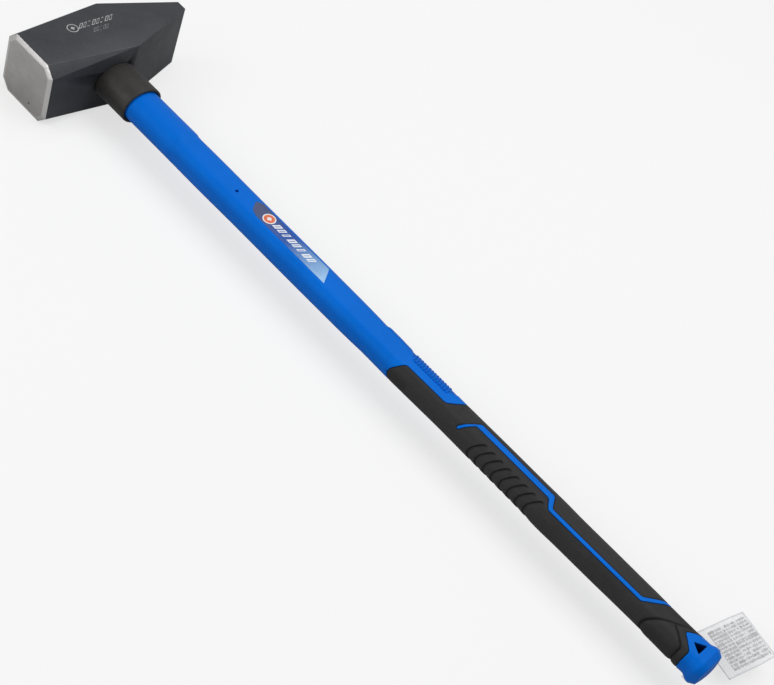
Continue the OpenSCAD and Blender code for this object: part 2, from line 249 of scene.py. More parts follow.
# Where the grip swells into the palm stop
PALM_PAD = [(WAIST_X - 65.5, -QUARTER - 5), (WAIST_X - 64.0, -18.5), (WAIST_X - 58.5, -12),
    (WAIST_X - 53.5, -6.6), (WAIST_X - 43.5, 0.4), (WAIST_X - 33.5, -8), (WAIST_X - 27.2, -14),
    (WAIST_X - 27.2, -QUARTER - 5)]
PALM_ARC = rounded([(WAIST_X - 65.5, -QUARTER), (WAIST_X - 64.0, -18.5), (WAIST_X - 58.5, -12),
    (WAIST_X - 53.5, -6.6), (WAIST_X - 43.5, 1.4), (WAIST_X - 34.0, 8.6), (WAIST_X - 27.0, 15)],
    2.0)
PALM_FORK = rounded([(WAIST_X - 43.5, -0.4), (WAIST_X - 33.5, -8.0), (WAIST_X - 26.6, -14.0),
    (WAIST_X - 27.2, -QUARTER)], 1.6)
PAD_COUNT = 8
PAD_PITCH = 10.4
PAD_X = THUMB_X + 43.5
# One groove between two finger pads: round the side, slanting over the corner, with a hook
PAD_GROOVE = rounded([(-8.8, -QUARTER), (-8.2, -20.5), (-6.2, -17), (-3.4, -12.6), (0, -8.2),
    (3.6, -8.0)], 1.0)
PAD_GROOVES = [[(PAD_X + k * PAD_PITCH + x, s) for x, s in PAD_GROOVE] for k in range(PAD_COUNT)]


def line_distance(points, line, closed=False):
    """Distance from each point to a line, positive on its left, and the share run along it."""
    ring = np.array(list(line) + [line[0]] if closed else line, float)
    best = np.full(len(points), 1e9)
    signed, share = best.copy(), np.zeros(len(points))
    steps = np.linalg.norm(np.diff(ring, axis=0), axis=1)
    run = np.concatenate([[0], np.cumsum(steps)])
    for k, (a, b) in enumerate(zip(ring[:-1], ring[1:])):
        d = b - a
        rel = points - a
        t = np.clip(rel @ d / (d @ d), 0, 1)
        away = rel - t[:, None] * d
        dist = np.linalg.norm(away, axis=1)
        left = np.where(d[0] * rel[:, 1] - d[1] * rel[:, 0] >= 0, 1, -1)
        closer = dist < best
        best = np.where(closer, dist, best)
        signed = np.where(closer, dist * left, signed)
        share = np.where(closer, (run[k] + t * steps[k]) / run[-1], share)
    return signed, share


def inside(points, outline):
    """Which points lie inside a closed outline."""
    ring = np.array(outline, float)
    found = np.zeros(len(points), bool)
    x, y = points[:, 0], points[:, 1]
    for a, b in zip(ring, np.roll(ring, -1, axis=0)):
        crosses = (a[1] > y) != (b[1] > y)
        rise = b[1] - a[1] if b[1] != a[1] else 1
        found ^= crosses & (x < (b[0] - a[0]) * (y - a[1]) / rise + a[0])
    return found


def ease(value):
    t = np.clip(value, 0, 1)
    return t * t * (3 - 2 * t)


# ---- The handle's skin: one flat net of triangles, cut along every outline ----

SHAFT_AREA = PANEL_EDGE + [(0, QUARTER + 9), (0, -QUARTER - 9)]
CAP_AREA = CAP_EDGE + [(SKIN_END + 9, QUARTER + 9), (SKIN_END + 9, -QUARTER - 9)]
COLOUR_EDGES = [(PANEL_EDGE, False), (STRIPE, True), (CAP_EDGE, False)]
HOLE_EDGES = [(LANYARD, True), (HOLE, True), (LABEL, True)]
GROOVES = [(PALM_ARC, False), (PALM_FORK, False)] + [(g, False) for g in PAD_GROOVES]


LINE_STEP = 1.1
EDGE_S = QUARTER - 0.9


def dense(line, closed):
    """An outline with its points close together, and its end joined to its start if closed."""
    return resample(list(line) + [line[0]] if closed else list(line), LINE_STEP)


def rings_beside(line, closed):
    """Rows of points on both sides of an outline, close to it."""
    points = np.array(dense(line, closed))
    ahead = np.gradient(points, axis=0)
    across = np.stack([-ahead[:, 1], ahead[:, 0]], 1)
    across /= np.linalg.norm(across, axis=1)[:, None]
    return np.concatenate([points + across * gap for gap in (-0.9, -0.35, 0.35, 0.9)])


def grid(x0, x1, dx, s0, s1, ds):
    """A regular net of points, and the room that each needs."""
    ss = np.linspace(s0, s1, max(2, round((s1 - s0) / ds)))
    net = np.stack(np.meshgrid(np.arange(x0, x1, dx), ss), -1).reshape(-1, 2)
    return net, min(dx, ds) * 0.45


def thinned(net, room, fixed):
    """The net's points inside the skin, clear of the fixed ones and of each other."""
    x, s = net.T
    net = net[(np.abs(s) < EDGE_S + 0.01) & (x > UNDER_X + 1) & (x < SKIN_END - 0.2)]
    for k in range(0, len(fixed), 400):
        gap = np.abs(net[:, None] - fixed[None, k : k + 400])
        net = net[(gap.max(2) > room).all(1)]
    cells = np.round(net / (room * 1.6)).astype(int)
    _, first = np.unique(cells, axis=0, return_index=True)
    return net[np.sort(first)]


def skin_net():
    """Points (x, s) and triangles over half of the handle's skin."""
    ends = np.linspace(-QUARTER, QUARTER, 29)
    columns = [UNDER_X, *np.arange(UNDER_X + 5, SKIN_END - 1, 5.0), SKIN_END]
    lines = [[(x, s) for s in ends] for x in (UNDER_X, SKIN_END, PLUG_X)]
    lines += [[(x, side) for x in columns] for side in (-QUARTER, QUARTER)]
    lines += [dense(line, closed) for line, closed in COLOUR_EDGES + HOLE_EDGES + GROOVES]
    points, edges = [], []
    for line in lines:
        start = len(points)
        points += line
        edges += [(start + k, start + k + 1) for k in range(len(line) - 1)]
    fixed = np.array(points)
    rings = [rings_beside(line, closed) for line, closed in COLOUR_EDGES + GROOVES]
    beside = thinned(np.concatenate(rings), 0.25, fixed)
    # From fine to coarse: thumb pad, ribs, palm stop, finger pads, butt rim, grip and shaft
    nets = [
        grid(GRIP_X - 42, GRIP_X - 7, 1.2, 4, EDGE_S, 1.2),
        grid(GRIP_X - 6, THUMB_X - 4, 1.0, 0, EDGE_S, 1.0),
        grid(WAIST_X - 68, WAIST_X - 24, 0.85, -EDGE_S, 16, 0.85),
        grid(PAD_X - 11, PAD_X + PAD_COUNT * PAD_PITCH, 0.75, -EDGE_S, -5, 0.75),
        grid(RIM_X, SKIN_END - 0.3, 0.5, -EDGE_S, EDGE_S, 1.5),
        grid(GRIP_X - 12, RIM_X, 1.6, -EDGE_S, EDGE_S, 1.5),
        grid(UNDER_X + 4, GRIP_X - 12, 4.0, -EDGE_S, EDGE_S, 1.9),
    ]
    taken = []
    for net, room in nets:
        net = thinned(net, room, fixed)
        net = net[~near_any(net, beside, 0.45)]
        for other in taken:
            low, high = other.min(0) - 0.4, other.max(0) + 0.4
            net = net[~((net > low) & (net < high)).all(1)]
        taken.append(net)
    points = np.concatenate([fixed, beside, *taken])
    found = delaunay_2d_cdt([Vector(p) for p in points], edges, [], 0, 1e-5)
    return np.array([tuple(v) for v in found[0]]), np.array(found[2])


def near_any(points, others, room):
    """Which points have one of the others in the same or a touching cell of a net."""
    cells = {tuple(c) for c in np.round(others / room).astype(int)}
    mine = np.round(points / room).astype(int)
    steps = [(i, j) for i in (-1, 0, 1) for j in (-1, 0, 1)]
    return np.array([any((c[0] + i, c[1] + j) in cells for i, j in steps) for c in mine], bool)


def skin_height(points):
    """How far each place stands proud of the plain handle, and how much painted shade darkens it
    along seams and grooves.
    """
    height, crease = np.zeros(len(points)), np.zeros(len(points))
    x, s = points[:, 0], points[:, 1]
    blue = inside(points, STRIPE) | inside(points, SHAFT_AREA) | inside(points, CAP_AREA)
    # Along each colour edge the crease value is painted shade that darkens the seam, weaker on
    # the blue side.
    for line, closed in COLOUR_EDGES:
        gap = np.abs(line_distance(points, line, closed)[0])
        share = np.where(blue & (gap > 0.1), 0.3, 1.0)
        height -= 0.8 * share * np.clip(1 - gap / 0.95, 0, 1) ** 1.3
        crease = np.maximum(crease, share * np.clip(1 - gap / 0.8, 0, 1))
    side_pad = ease((s - 7.0) / 3.5) * np.interp(x, GRIP_X + np.array([-37, -33.5, -21.5, -3.6,
        -1.6]), [0, 1.1, 1.1, 0.5, 0])
    height += side_pad
    panel = inside(points, RIB_PANEL)
    gap = np.abs(line_distance(points, RIB_PANEL)[0])
    height -= np.where(panel, 0.4 * ease(gap / 1.0), 0)
    # Painted shade along the inside of the rib panel's edge.
    crease = np.maximum(crease, np.where(panel, 0.3 * ease(gap / 0.9), 0))
    palm = inside(points, PALM_PAD)
    gap = np.abs(line_distance(points, PALM_PAD, True)[0])
    height += np.where(palm, 0.7 * ease(gap / 4.5), 0)
    for line, depth, half in ((PALM_ARC, 1.5, 1.5), (PALM_FORK, 1.1, 1.3)):
        gap, share = line_distance(points, line)
        thin = 1 - 0.5 * share if line is PALM_ARC else 1
        height -= depth * thin * np.clip(1 - np.abs(gap) / half, 0, 1) ** 1.2
        # Painted shade along the palm grooves.
        crease = np.maximum(crease, thin * np.clip(1.1 - np.abs(gap) / half, 0, 1))
    for groove in PAD_GROOVES:
        gap, share = line_distance(points, groove)
        ahead = -gap
        fade = ease((1 - share) / 0.12)
        lip = np.clip(1 + ahead / 0.8, 0, 1) ** 1.3
        ramp = np.clip(1 - ahead / 7.5, 0, 1) ** 2.2
        height -= 1.35 * fade * np.where(ahead < 0, lip, ramp) * (ahead > -0.8)
        # Painted shade along each finger-pad groove, strongest under its lip.
        crease = np.maximum(crease, fade * np.clip(1 - np.abs(ahead - 0.3) / 1.3, 0, 1))
    return height, crease


def skin_texture(points):
    """1 where the grip carries its fine hatching, and 0 where it is smooth."""
    x, s = points[:, 0], points[:, 1]
    stripe_top = np.interp(x, [THUMB_X, THUMB_X + 19, THUMB_X + 26, KINK_X, KINK_X + 9,
        WAIST_X - 80, WAIST_X - 62], [-2, -2, 6, 6, -6, -6, 12])
    upper = ease((s - stripe_top) / 1.2) * ease((x - THUMB_X - 4) / 3)
    upper *= ease((WAIST_X - 60 - x) / 3)
    flank = ease((-17.5 - s) / 2.5) * ease((x - GRIP_X - 20) / 8)
    flank *= ease((WAIST_X - 66 - x) / 2)
    thumb = ease((s - 8) / 2) * ease((x - GRIP_X + 38) / 2) * ease((GRIP_X - 2 - x) / 2)
    return np.clip(upper + 0.8 * flank + thumb, 0, 1)


NET, TRIS = skin_net()
NET_HEIGHT, NET_PAINTED_SHADE = skin_height(NET)
NET_MARKS = np.stack([skin_texture(NET), NET_PAINTED_SHADE], 1)
CENTRES = NET[TRIS].mean(1)
IN_STRIPE = inside(CENTRES, STRIPE)
IN_SHAFT = inside(CENTRES, SHAFT_AREA)
IN_CAP = inside(CENTRES, CAP_AREA)
IN_LANYARD = inside(CENTRES, LANYARD)
IN_HOLE = inside(CENTRES, HOLE)
IN_LABEL = inside(CENTRES, LABEL)
IN_BLUE = IN_SHAFT | IN_STRIPE
IN_GRIP = ~IN_BLUE & ~IN_CAP
PAST_PLUG = CENTRES[:, 0] > PLUG_X


class Solid:
    """Collects the faces of one closed piece, and welds them at the end."""

    def __init__(self):
        self.points, self.faces, self.marks = [], [], []

    def add(self, points, faces, marks=None):
        start = sum(len(p) for p in self.points)
        self.points.append(np.asarray(points, float))
        self.marks.append(np.zeros((len(points), 2)) if marks is None else marks)
        self.faces += [[start + i for i in f] for f in faces]

    def skin(self, chosen, heights, below, flip=False):
        """Adds part of the skin, on the upper or the lower half of the handle."""
        used, back = np.unique(TRIS[chosen], return_inverse=True)
        tris = back.reshape(-1, 3)
        pts = handle_points(NET[used, 0], NET[used, 1], heights[used], below)
        faces = tris[:, ::-1] if below != flip else tris
        self.add(pts, faces.tolist(), NET_MARKS[used])

    def walls(self, chosen, top, bottom, below, skip=None, flip=False):
        """Adds the walls between two heights, along the edge of part of the skin."""
        for a, b in rim_edges(chosen):
            if skip is not None and skip(NET[a], NET[b]):
                continue
            ends = NET[[a, b]]
            high = handle_points(ends[:, 0], ends[:, 1], top[[a, b]], below)
            low = handle_points(ends[:, 0], ends[:, 1], bottom[[a, b]], below)
            face = [0, 2, 3, 1] if below == flip else [1, 3, 2, 0]
            self.add(np.concatenate([high, low]), [face], NET_MARKS[[a, b, a, b]])

    def mesh(self, name, merge=0.004):
        made = bpy.data.meshes.new(name)
        points = np.concatenate(self.points) * MM
        made.from_pydata(points.tolist(), [], self.faces)
        marks = np.concatenate(self.marks).astype(np.float32)
        # The crease layer holds painted shade for seams, grooves and the lanyard hole; the
        # hatching layer marks the textured places.
        for k, label in enumerate(("hatching", "crease")):
            layer = made.attributes.new(label, "FLOAT", "POINT")
            layer.data.foreach_set("value", np.ascontiguousarray(marks[:, k]))
        bm = bmesh.new()
        bm.from_mesh(made)
        bmesh.ops.remove_doubles(bm, verts=bm.verts, dist=merge * MM)
        bm.to_mesh(made)
        bm.free()
        return made


def rim_edges(chosen):
    """The edges of part of the net that have it on one side only, in its own direction."""
    tris = TRIS[chosen]
    edges = np.concatenate([tris[:, [0, 1]], tris[:, [1, 2]], tris[:, [2, 0]]])
    keys = np.sort(edges, axis=1)
    _, back, count = np.unique(keys, axis=0, return_inverse=True, return_counts=True)
    return edges[count[back.ravel()] == 1]


def on_side(a, b):
    """Where the two halves of the skin meet."""
    return abs(a[1]) > QUARTER - 1e-4 and abs(b[1]) > QUARTER - 1e-4


def at_place(x):
    return lambda a, b: on_side(a, b) or (abs(a[0] - x) < 1e-3 and abs(b[0] - x) < 1e-3)


def loop_at(x):
    """The net's points across the handle at one place, in order of s."""
    found = np.nonzero(np.abs(NET[:, 0] - x) < 1e-3)[0]
    return found[np.argsort(NET[found, 1])]


def add_piece(mesh, name, body, materials, replaces=None, smooth=40):
    """Shows a mesh as a piece of the object that rides on a body."""
    made = bpy.data.objects.new(name, mesh)
    bpy.context.scene.collection.objects.link(made)
    for material in materials:
        mesh.materials.append(material)
    mesh.shade_smooth()
    mesh.set_sharp_from_angle(angle=math.radians(smooth))
    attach(made, body)
    if replaces:
        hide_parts(replaces)
    return made


def evaluated_mesh(source, name):
    """The mesh that an object's modifiers make, with the object taken away."""
    graph = bpy.context.evaluated_depsgraph_get()
    graph.update()
    made = bpy.data.meshes.new_from_object(source.evaluated_get(graph), depsgraph=graph)
    made.name = name
    bpy.data.objects.remove(source)
    return made


# ---- Handle pieces ----

FLUSH = NET_HEIGHT
UNDER = np.full(len(NET), -GRIP_WALL)


def ring_loop(x, heights):
    """Both halves of the skin at one place as one closed loop of points, and the core's."""
    row = loop_at(x)
    upper = handle_points(NET[row, 0], NET[row, 1], heights[row])
    lower = handle_points(NET[row, 0], NET[row, 1], heights[row], True)
    core_up, core_low = core_points(x, NET[row, 1]), core_points(x, NET[row, 1], True)
    outer = np.concatenate([upper, lower[::-1][1:-1]])
    return outer, np.concatenate([core_up, core_low[::-1][1:-1]])


def jacket_mesh():
    solid = Solid()
    covered = IN_GRIP & ~PAST_PLUG
    for below in (False, True):
        blue = IN_BLUE & ~(IN_HOLE & (not below))
        solid.skin(blue, FLUSH, below)
        solid.skin(covered, UNDER, below)
        solid.walls(covered, UNDER, FLUSH, below, skip=at_place(PLUG_X))
    near, near_core = ring_loop(UNDER_X, FLUSH)
    far, far_core = ring_loop(PLUG_X, UNDER)
    n = len(near)
    pairs = [(k, (k + 1) % n) for k in range(n)]
    solid.add(np.concatenate([near, near_core]), [[a, b, n + b, n + a] for a, b in pairs])
    solid.add(np.concatenate([far, far_core]), [[b, a, n + a, n + b] for a, b in pairs])
    bore = np.concatenate([near_core, far_core])
    solid.add(bore, [[a, b, n + b, n + a] for a, b in pairs])
    wall = rim_edges(IN_HOLE)
    for a, b in wall:
        top = handle_points(NET[[a, b], 0], NET[[a, b], 1], FLUSH[[a, b]])
        floor = top.copy()
        floor[:, 2] = MID_Z + CORE_SIZE[1] / 2
        solid.add(np.concatenate([top, floor]), [[0, 1, 3, 2]])
    return solid.mesh("handle_jacket_moulding")


def sleeve_mesh():
    solid = Solid()
    for below in (False, True):
        solid.skin(IN_GRIP, FLUSH, below)
        solid.skin(IN_GRIP, UNDER, below, flip=True)
        solid.walls(IN_GRIP, FLUSH, UNDER, below, skip=on_side)
    return solid.mesh("grip_sleeve_moulding")


def cap_mesh():
    solid = Solid()
    shown = IN_CAP & ~IN_LANYARD
    plug = IN_GRIP & PAST_PLUG
    for below in (False, True):
        solid.skin(shown, FLUSH, below)
        solid.skin(plug, UNDER, below)
        solid.walls(plug, UNDER, FLUSH, below, skip=at_place(PLUG_X))
    near, _ = ring_loop(PLUG_X, UNDER)
    solid.add(near, [list(range(len(near)))])
    end, _ = ring_loop(SKIN_END, FLUSH)
    centre = end.mean(0)
    n = len(end)
    # The end face: a low dome
    rings, faces = [end], []
    dome = BUTT_X - RIM_X - RIM_REACH
    for share in (0.93, 0.84, 0.7, 0.5, 0.3, 0.1):
        ring = centre + (end - centre) * share
        ring[:, 0] += dome * (1 - share**2)
        rings.append(ring)
    for k in range(len(rings) - 1):
        faces += [[k * n + (i + 1) % n, k * n + i, (k + 1) * n + i,
            (k + 1) * n + (i + 1) % n] for i in range(n)]
    last = (len(rings) - 1) * n
    faces.append([last + i for i in range(n)][::-1])
    solid.add(np.concatenate(rings), faces)
    for a, b in rim_edges(IN_LANYARD):
        ends = NET[[a, b]]
        up = handle_points(ends[:, 0], ends[:, 1], FLUSH[[a, b]])
        low = handle_points(ends[:, 0], ends[:, 1], FLUSH[[a, b]], True)
        wall = np.concatenate([up + (low - up) * depth for depth in (0, 0.08, 0.92, 1)])
        # The hole's inner wall gets full crease value, away from its two lips: painted shade
        # inside the lanyard hole.
        marks = np.stack([np.zeros(8), np.array([0, 0, 1, 1, 1, 1, 0, 0])], 1)
        steps = [[k, k + 1, k + 3, k + 2] for k in (0, 2, 4)]
        solid.add(wall, steps, marks)
    return solid.mesh("butt_cap_moulding")


def label_mesh():
    solid = Solid()
    proud = FLUSH + 0.15
    solid.skin(IN_LABEL, proud, False)
    solid.skin(IN_LABEL, FLUSH - 0.05, False, flip=True)
    solid.walls(IN_LABEL, proud, FLUSH - 0.05, False)
    return solid.mesh("handle_label_film")


# ---- Head, resin and core ----

PEEN_FROM = 25.0
PEEN_EDGE = 12.5
CORNER_CUT = 11.0
FACE_BEVEL = 5.0
FACE_BEVEL_DEPTH = 2.0
RESIN_WALL = 2.4
EYE_FLARE = 2.5


def head_planes():
    """The planes that bound the head, each as a point and the direction out of it."""
    half_h, half_t = HEAD_HIGH[0], MID_Z
    planes = []
    slope = Vector((HEAD_HIGH[1] - PEEN_FROM, half_h - PEEN_EDGE / 2, 0)).normalized()
    lean = math.atan(CORNER_CUT / math.sqrt(2) / (PEEN_FROM - HEAD_LOW[1]))
    share = math.cos(lean) / math.sqrt(2)
    for x in (-1, 1):
        planes.append(((x * half_h, PEEN_FROM, MID_Z), (x * slope.x, slope.y, 0)))
        for z in (-1, 1):
            spot = (x * half_h, PEEN_FROM, MID_Z + z * half_t)
            planes.append((spot, (x * share, -math.sin(lean), z * share)))
    diagonal = (half_h + half_t - CORNER_CUT) / math.sqrt(2)
    tilt = math.atan(FACE_BEVEL_DEPTH / FACE_BEVEL)
    for k in range(8):
        turn = k * math.pi / 4
        reach = diagonal if k % 2 else (half_h if k in (0, 4) else half_t)
        x, z = math.cos(turn), math.sin(turn)
        spot = (x * reach, HEAD_LOW[1] + FACE_BEVEL_DEPTH, MID_Z + z * reach)
        planes.append((spot, (x * math.sin(tilt), -math.cos(tilt), z * math.sin(tilt))))
    return planes


def eye_ring(x, grow):
    """One outline of the eye, as wide as the resin needs plus grow on each side."""
    width, thick = CORE_SIZE + 2 * (RESIN_WALL + grow)
    turns = np.arange(64) * math.pi / 32
    y = np.sign(np.round(np.cos(turns), 6)) * (width - thick) / 2
    y = y * np.clip(np.abs(np.cos(turns)) * 3, 0, 1) + thick / 2 * np.cos(turns)
    z = thick / 2 * np.sin(turns)
    return np.stack([np.full(64, float(x)), y, MID_Z + z], 1)


def lofted(rings, name, closed=False):
    """A closed mesh through rings of points; closed joins the last ring to the first."""
    n, count = len(rings[0]), len(rings)
    faces = []
    for k in range(count if closed else count - 1):
        a, b = k * n, (k + 1) % count * n
        faces += [[a + i, a + (i + 1) % n, b + (i + 1) % n, b + i] for i in range(n)]
    if not closed:
        faces += [list(range(n))[::-1], [(count - 1) * n + i for i in range(n)]]
    made = bpy.data.meshes.new(name)
    made.from_pydata((np.concatenate(rings) * MM).tolist(), [], faces)
    bm = bmesh.new()
    bm.from_mesh(made)
    bmesh.ops.recalc_face_normals(bm, faces=bm.faces)
    bm.to_mesh(made)
    bm.free()
    return made


def eye_grow(x):
    return EYE_FLARE * (abs(x) / HEAD_HIGH[0]) ** 1.5


def head_mesh(materials):
    bm = bmesh.new()
    bmesh.ops.create_cube(bm, size=1)
    size, centre = HEAD_HIGH - HEAD_LOW, (HEAD_HIGH + HEAD_LOW) / 2
    for v in bm.verts:
        v.co = Vector(np.array(v.co) * size + centre)
    for spot, out in head_planes():
        everything = bm.verts[:] + bm.edges[:] + bm.faces[:]
        cut = bmesh.ops.bisect_plane(bm, geom=everything, plane_co=spot, plane_no=out,
            clear_outer=True, dist=1e-4)
        rim = [g for g in cut["geom_cut"] if isinstance(g, bmesh.types.BMEdge)]
        bmesh.ops.contextual_create(bm, geom=rim)
    bmesh.ops.remove_doubles(bm, verts=bm.verts, dist=1e-3)
    bmesh.ops.recalc_face_normals(bm, faces=bm.faces)
    weight = bm.edges.layers.float.new("bevel_weight_edge")
    for face in bm.faces:
        level = face.normal.y
        # Index 1 is the ground striking face; index 3, the bevel ring round it, gets a lighter
        # steel that paints a highlight there.
        face.material_index = 1 if level < -0.98 else (3 if level < -0.7 else 0)
    for edge in bm.edges:
        kinds = [f.material_index for f in edge.link_faces]
        at_peen = all(v.co.y > PEEN_FROM + 1 for v in edge.verts)
        edge[weight] = 0.3 if max(kinds) else (0.9 if at_peen else 0.5)
    for v in bm.verts:
        v.co *= MM
    made = bpy.data.meshes.new("head_forging")
    for material in materials:
        made.materials.append(material)
    bm.to_mesh(made)
    bm.free()
    body = bpy.data.objects.new("head_blank", made)
    bpy.context.scene.collection.objects.link(body)
    soften = body.modifiers.new("soften", "BEVEL")
    soften.limit_method, soften.width, soften.segments = "WEIGHT", 2.2 * MM, 3
    xs = np.linspace(TOP_X - 1, UNDER_X + 1, 13)
    cutter = bpy.data.objects.new("eye_cutter", lofted([eye_ring(x, eye_grow(x)) for x in xs],
        "eye_cutter"))
    bpy.context.scene.collection.objects.link(cutter)
    drift = body.modifiers.new("eye", "BOOLEAN")
    drift.object, drift.solver = cutter, "EXACT"
    weld = body.modifiers.new("shade", "WEIGHTED_NORMAL")
    weld.keep_sharp = True
    result = evaluated_mesh(body, "head_forged")
    bpy.data.objects.remove(cutter)
    return result


def mark_worn_edges(mesh, index):
    """Gives the softened edges of the painted head their own, worn finish."""
    flat = [Vector(out).normalized() for _, out in head_planes()]
    flat += [Vector(v) for v in ((1, 0, 0), (-1, 0, 0), (0, 1, 0), (0, 0, 1), (0, 0, -1))]
    for face in mesh.polygons:
        if face.material_index == 0 and max(face.normal.dot(f) for f in flat) < 0.9995:
            if face.area < 300 * MM * MM:
                face.material_index = index


def resin_mesh():
    xs = np.linspace(TOP_X + 0.5, UNDER_X, 13)
    rings = [eye_ring(x, eye_grow(x)) for x in xs]
    bore = [eye_ring(x, -RESIN_WALL) for x in (UNDER_X, TOP_X + 1.1)]
    return lofted(rings + bore, "eye_resin_cast", closed=True)


def core_mesh():
    inset = [(TOP_X + 0.15, -0.7), (TOP_X + 0.5, -0.15), (TOP_X + 1.4, 0), (PLUG_X, 0)]
    rings = [eye_ring(x, grow - RESIN_WALL) for x, grow in inset]
    return lofted(rings, "core_rod_pultruded")


# ---- Geometry Nodes: what repeats or follows a path ----


def wire(tree, kind, settings=None, **inputs):
    """Adds a node. An input is a value or another node's output; _ in its name is a space."""
    made = tree.nodes.new(kind)
    for label, value in (settings or {}).items():
        setattr(made, label, value)
    for label, value in inputs.items():
        numbered = label.startswith("i_")
        socket = made.inputs[int(label[2:]) if numbered else label.replace("_", " ")]
        if isinstance(value, bpy.types.NodeSocket):
            tree.links.new(value, socket)
        else:
            socket.default_value = value
    return made


class Wiring:
    """A node tree with short ways to add to it."""

    def socket(self, label, way, kind):
        name = label.replace("_", " ")
        return self.tree.interface.new_socket(name, in_out=way, socket_type="NodeSocket" + kind)

    def calc(self, operation, a, b=0.0, c=0.0):
        """One sum, and its result."""
        settings = {"operation": operation}
        return wire(self.tree, "ShaderNodeMath", settings, i_0=a, i_1=b, i_2=c).outputs[0]


class Maker(Wiring):
    """A Geometry Nodes tree: named inputs go in, and a mesh with its material comes out."""

    def __init__(self, name, **inputs):
        self.tree = bpy.data.node_groups.new(name, "GeometryNodeTree")
        for label, kind in {"Geometry": "Geometry", **inputs, "Material": "Material"}.items():
            self.socket(label, "INPUT", kind)
        self.socket("Geometry", "OUTPUT", "Geometry")
        self.given = self.tree.nodes.new("NodeGroupInput").outputs

    def node(self, kind, settings=None, **inputs):
        return wire(self.tree, "GeometryNode" + kind, settings, **inputs).outputs[0]

    def point(self, x, y, z):
        return wire(self.tree, "ShaderNodeCombineXYZ", X=x, Y=y, Z=z).outputs[0]

    def random(self, kind, **inputs):
        return wire(self.tree, "FunctionNodeRandomValue", {"data_type": kind}, **inputs).outputs

    def finish(self, geometry):
        """Makes the copies real, sets the material and ends the tree."""
        real = self.node("RealizeInstances", Geometry=geometry)
        done = self.node("SetMaterial", Geometry=real, Material=self.given["Material"])
        self.tree.links.new(done, self.tree.nodes.new("NodeGroupOutput").inputs[0])
        return self

    def run(self, name, base=None, **values):
        """Runs the tree with its inputs set by name, and returns the plain mesh that it makes."""
        start = base or bpy.data.meshes.new(name + "_start")
        holder = bpy.data.objects.new(name + "_maker", start)
        bpy.context.scene.collection.objects.link(holder)
        modifier = holder.modifiers.new("make", "NODES")
        modifier.node_group = self.tree
        for item in self.tree.interface.items_tree:
            label = item.name.replace(" ", "_")
            if item.in_out == "INPUT" and label in values:
                modifier[item.identifier] = values[label]
        return evaluated_mesh(holder, name)


def collar_maker():
    """A tube of oval section with rounded lips, swept round the handle's neck."""
    names = "Half_Width Half_Thickness Wall Length Lip_Radius Start Height Side"
    m = Maker("oval_collar", **{label: "Float" for label in names.split()})
    get = m.given
    ring = m.node("CurvePrimitiveCircle", Resolution=96, Radius=1.0)
    size = m.point(get["Half Thickness"], get["Half Width"], 1.0)
    path = m.node("Transform", Geometry=ring, Scale=size)
    level = m.node("SetCurveNormal", {"mode": "Z_UP"}, Curve=path)
    wall = m.node("CurvePrimitiveQuadrilateral", Width=get["Wall"], Height=get["Length"])
    lips = m.node(
        "FilletCurve", {"mode": "POLY"}, Curve=wall, Radius=get["Lip Radius"], Count=5
    )
    tube = m.node("CurveToMesh", Curve=level, Profile_Curve=lips)
    half = m.calc("MULTIPLY", get["Length"], 0.5)
    place = m.point(m.calc("ADD", get["Start"], half), get["Side"], get["Height"])
    turn = (0, math.pi / 2, 0)
    return m.finish(m.node("Transform", Geometry=tube, Translation=place, Rotation=turn))


def rib_maker():
    """Repeats one rib, given as a row of points, along the handle."""
    m = Maker("thumb_ribs", Count="Int", Pitch="Float", Half_Width="Float")
    step = m.point(m.given["Pitch"], 0.0, 0.0)
    row = m.node("MeshLine", {"mode": "OFFSET"}, Count=m.given["Count"], Offset=step)
    rib = m.node("MeshToCurve", Mesh=m.given["Geometry"])
    copies = m.node("InstanceOnPoints", Points=row, Instance=rib)
    real = m.node("RealizeInstances", Geometry=copies)
    profile = m.node("CurvePrimitiveCircle", Resolution=10, Radius=m.given["Half Width"])
    return m.finish(m.node("CurveToMesh", Curve=real, Profile_Curve=profile, Fill_Caps=True))


def print_maker():
    """Rows of short printed bars of random length, with some left out."""
    sizes = {"Width": "Float", "Height": "Float", "Bar_Height": "Float", "Density": "Float"}
    m = Maker("printed_rows", Columns="Int", Rows="Int", **sizes, Seed="Int")
    get = m.given
    counts = {"Vertices_X": get["Columns"], "Vertices_Y": get["Rows"]}
    sheet = m.node("MeshGrid", Size_X=get["Width"], Size_Y=get["Height"], **counts)
    dots = m.node("MeshToPoints", Mesh=sheet)
    length = m.calc("DIVIDE", get["Width"], get["Columns"])
    corners = {"Vertices_X": 2, "Vertices_Y": 2}
    bar = m.node("MeshGrid", Size_X=length, Size_Y=get["Bar Height"], **corners)
    ranges = {"i_0": (0.35, 0.7, 1.0), "i_1": (1.05, 1.2, 1.0)}
    stretch = m.random("FLOAT_VECTOR", **ranges, Seed=get["Seed"])[0]
    kept = m.random("BOOLEAN", Probability=get["Density"], Seed=get["Seed"])[3]
    return m.finish(
        m.node("InstanceOnPoints", Points=dots, Selection=kept, Instance=bar, Scale=stretch)
    )


RIB_COUNT = 14
RIB_PITCH = 3.45
RIB_DEPTH = -0.45
RIB_HALF_WIDTH = 1.05


def rib_start_mesh():
    """The first thumb rib's own line, slanting over the corner and round the side."""
    ss = np.linspace(3.6, QUARTER, 13)
    xs = GRIP_X + 7.5 - 2.0 * ease((ss - 3.6) / 10)
    up = handle_points(xs, ss, np.full(len(ss), RIB_DEPTH))
    low = handle_points(xs, ss, np.full(len(ss), RIB_DEPTH), True)
    points = np.concatenate([up, low[::-1][1:]]) * MM
    made = bpy.data.meshes.new("rib_line")
    made.from_pydata(points.tolist(), [(k, k + 1) for k in range(len(points) - 1)], [])
    return made


# ---- Tag ----

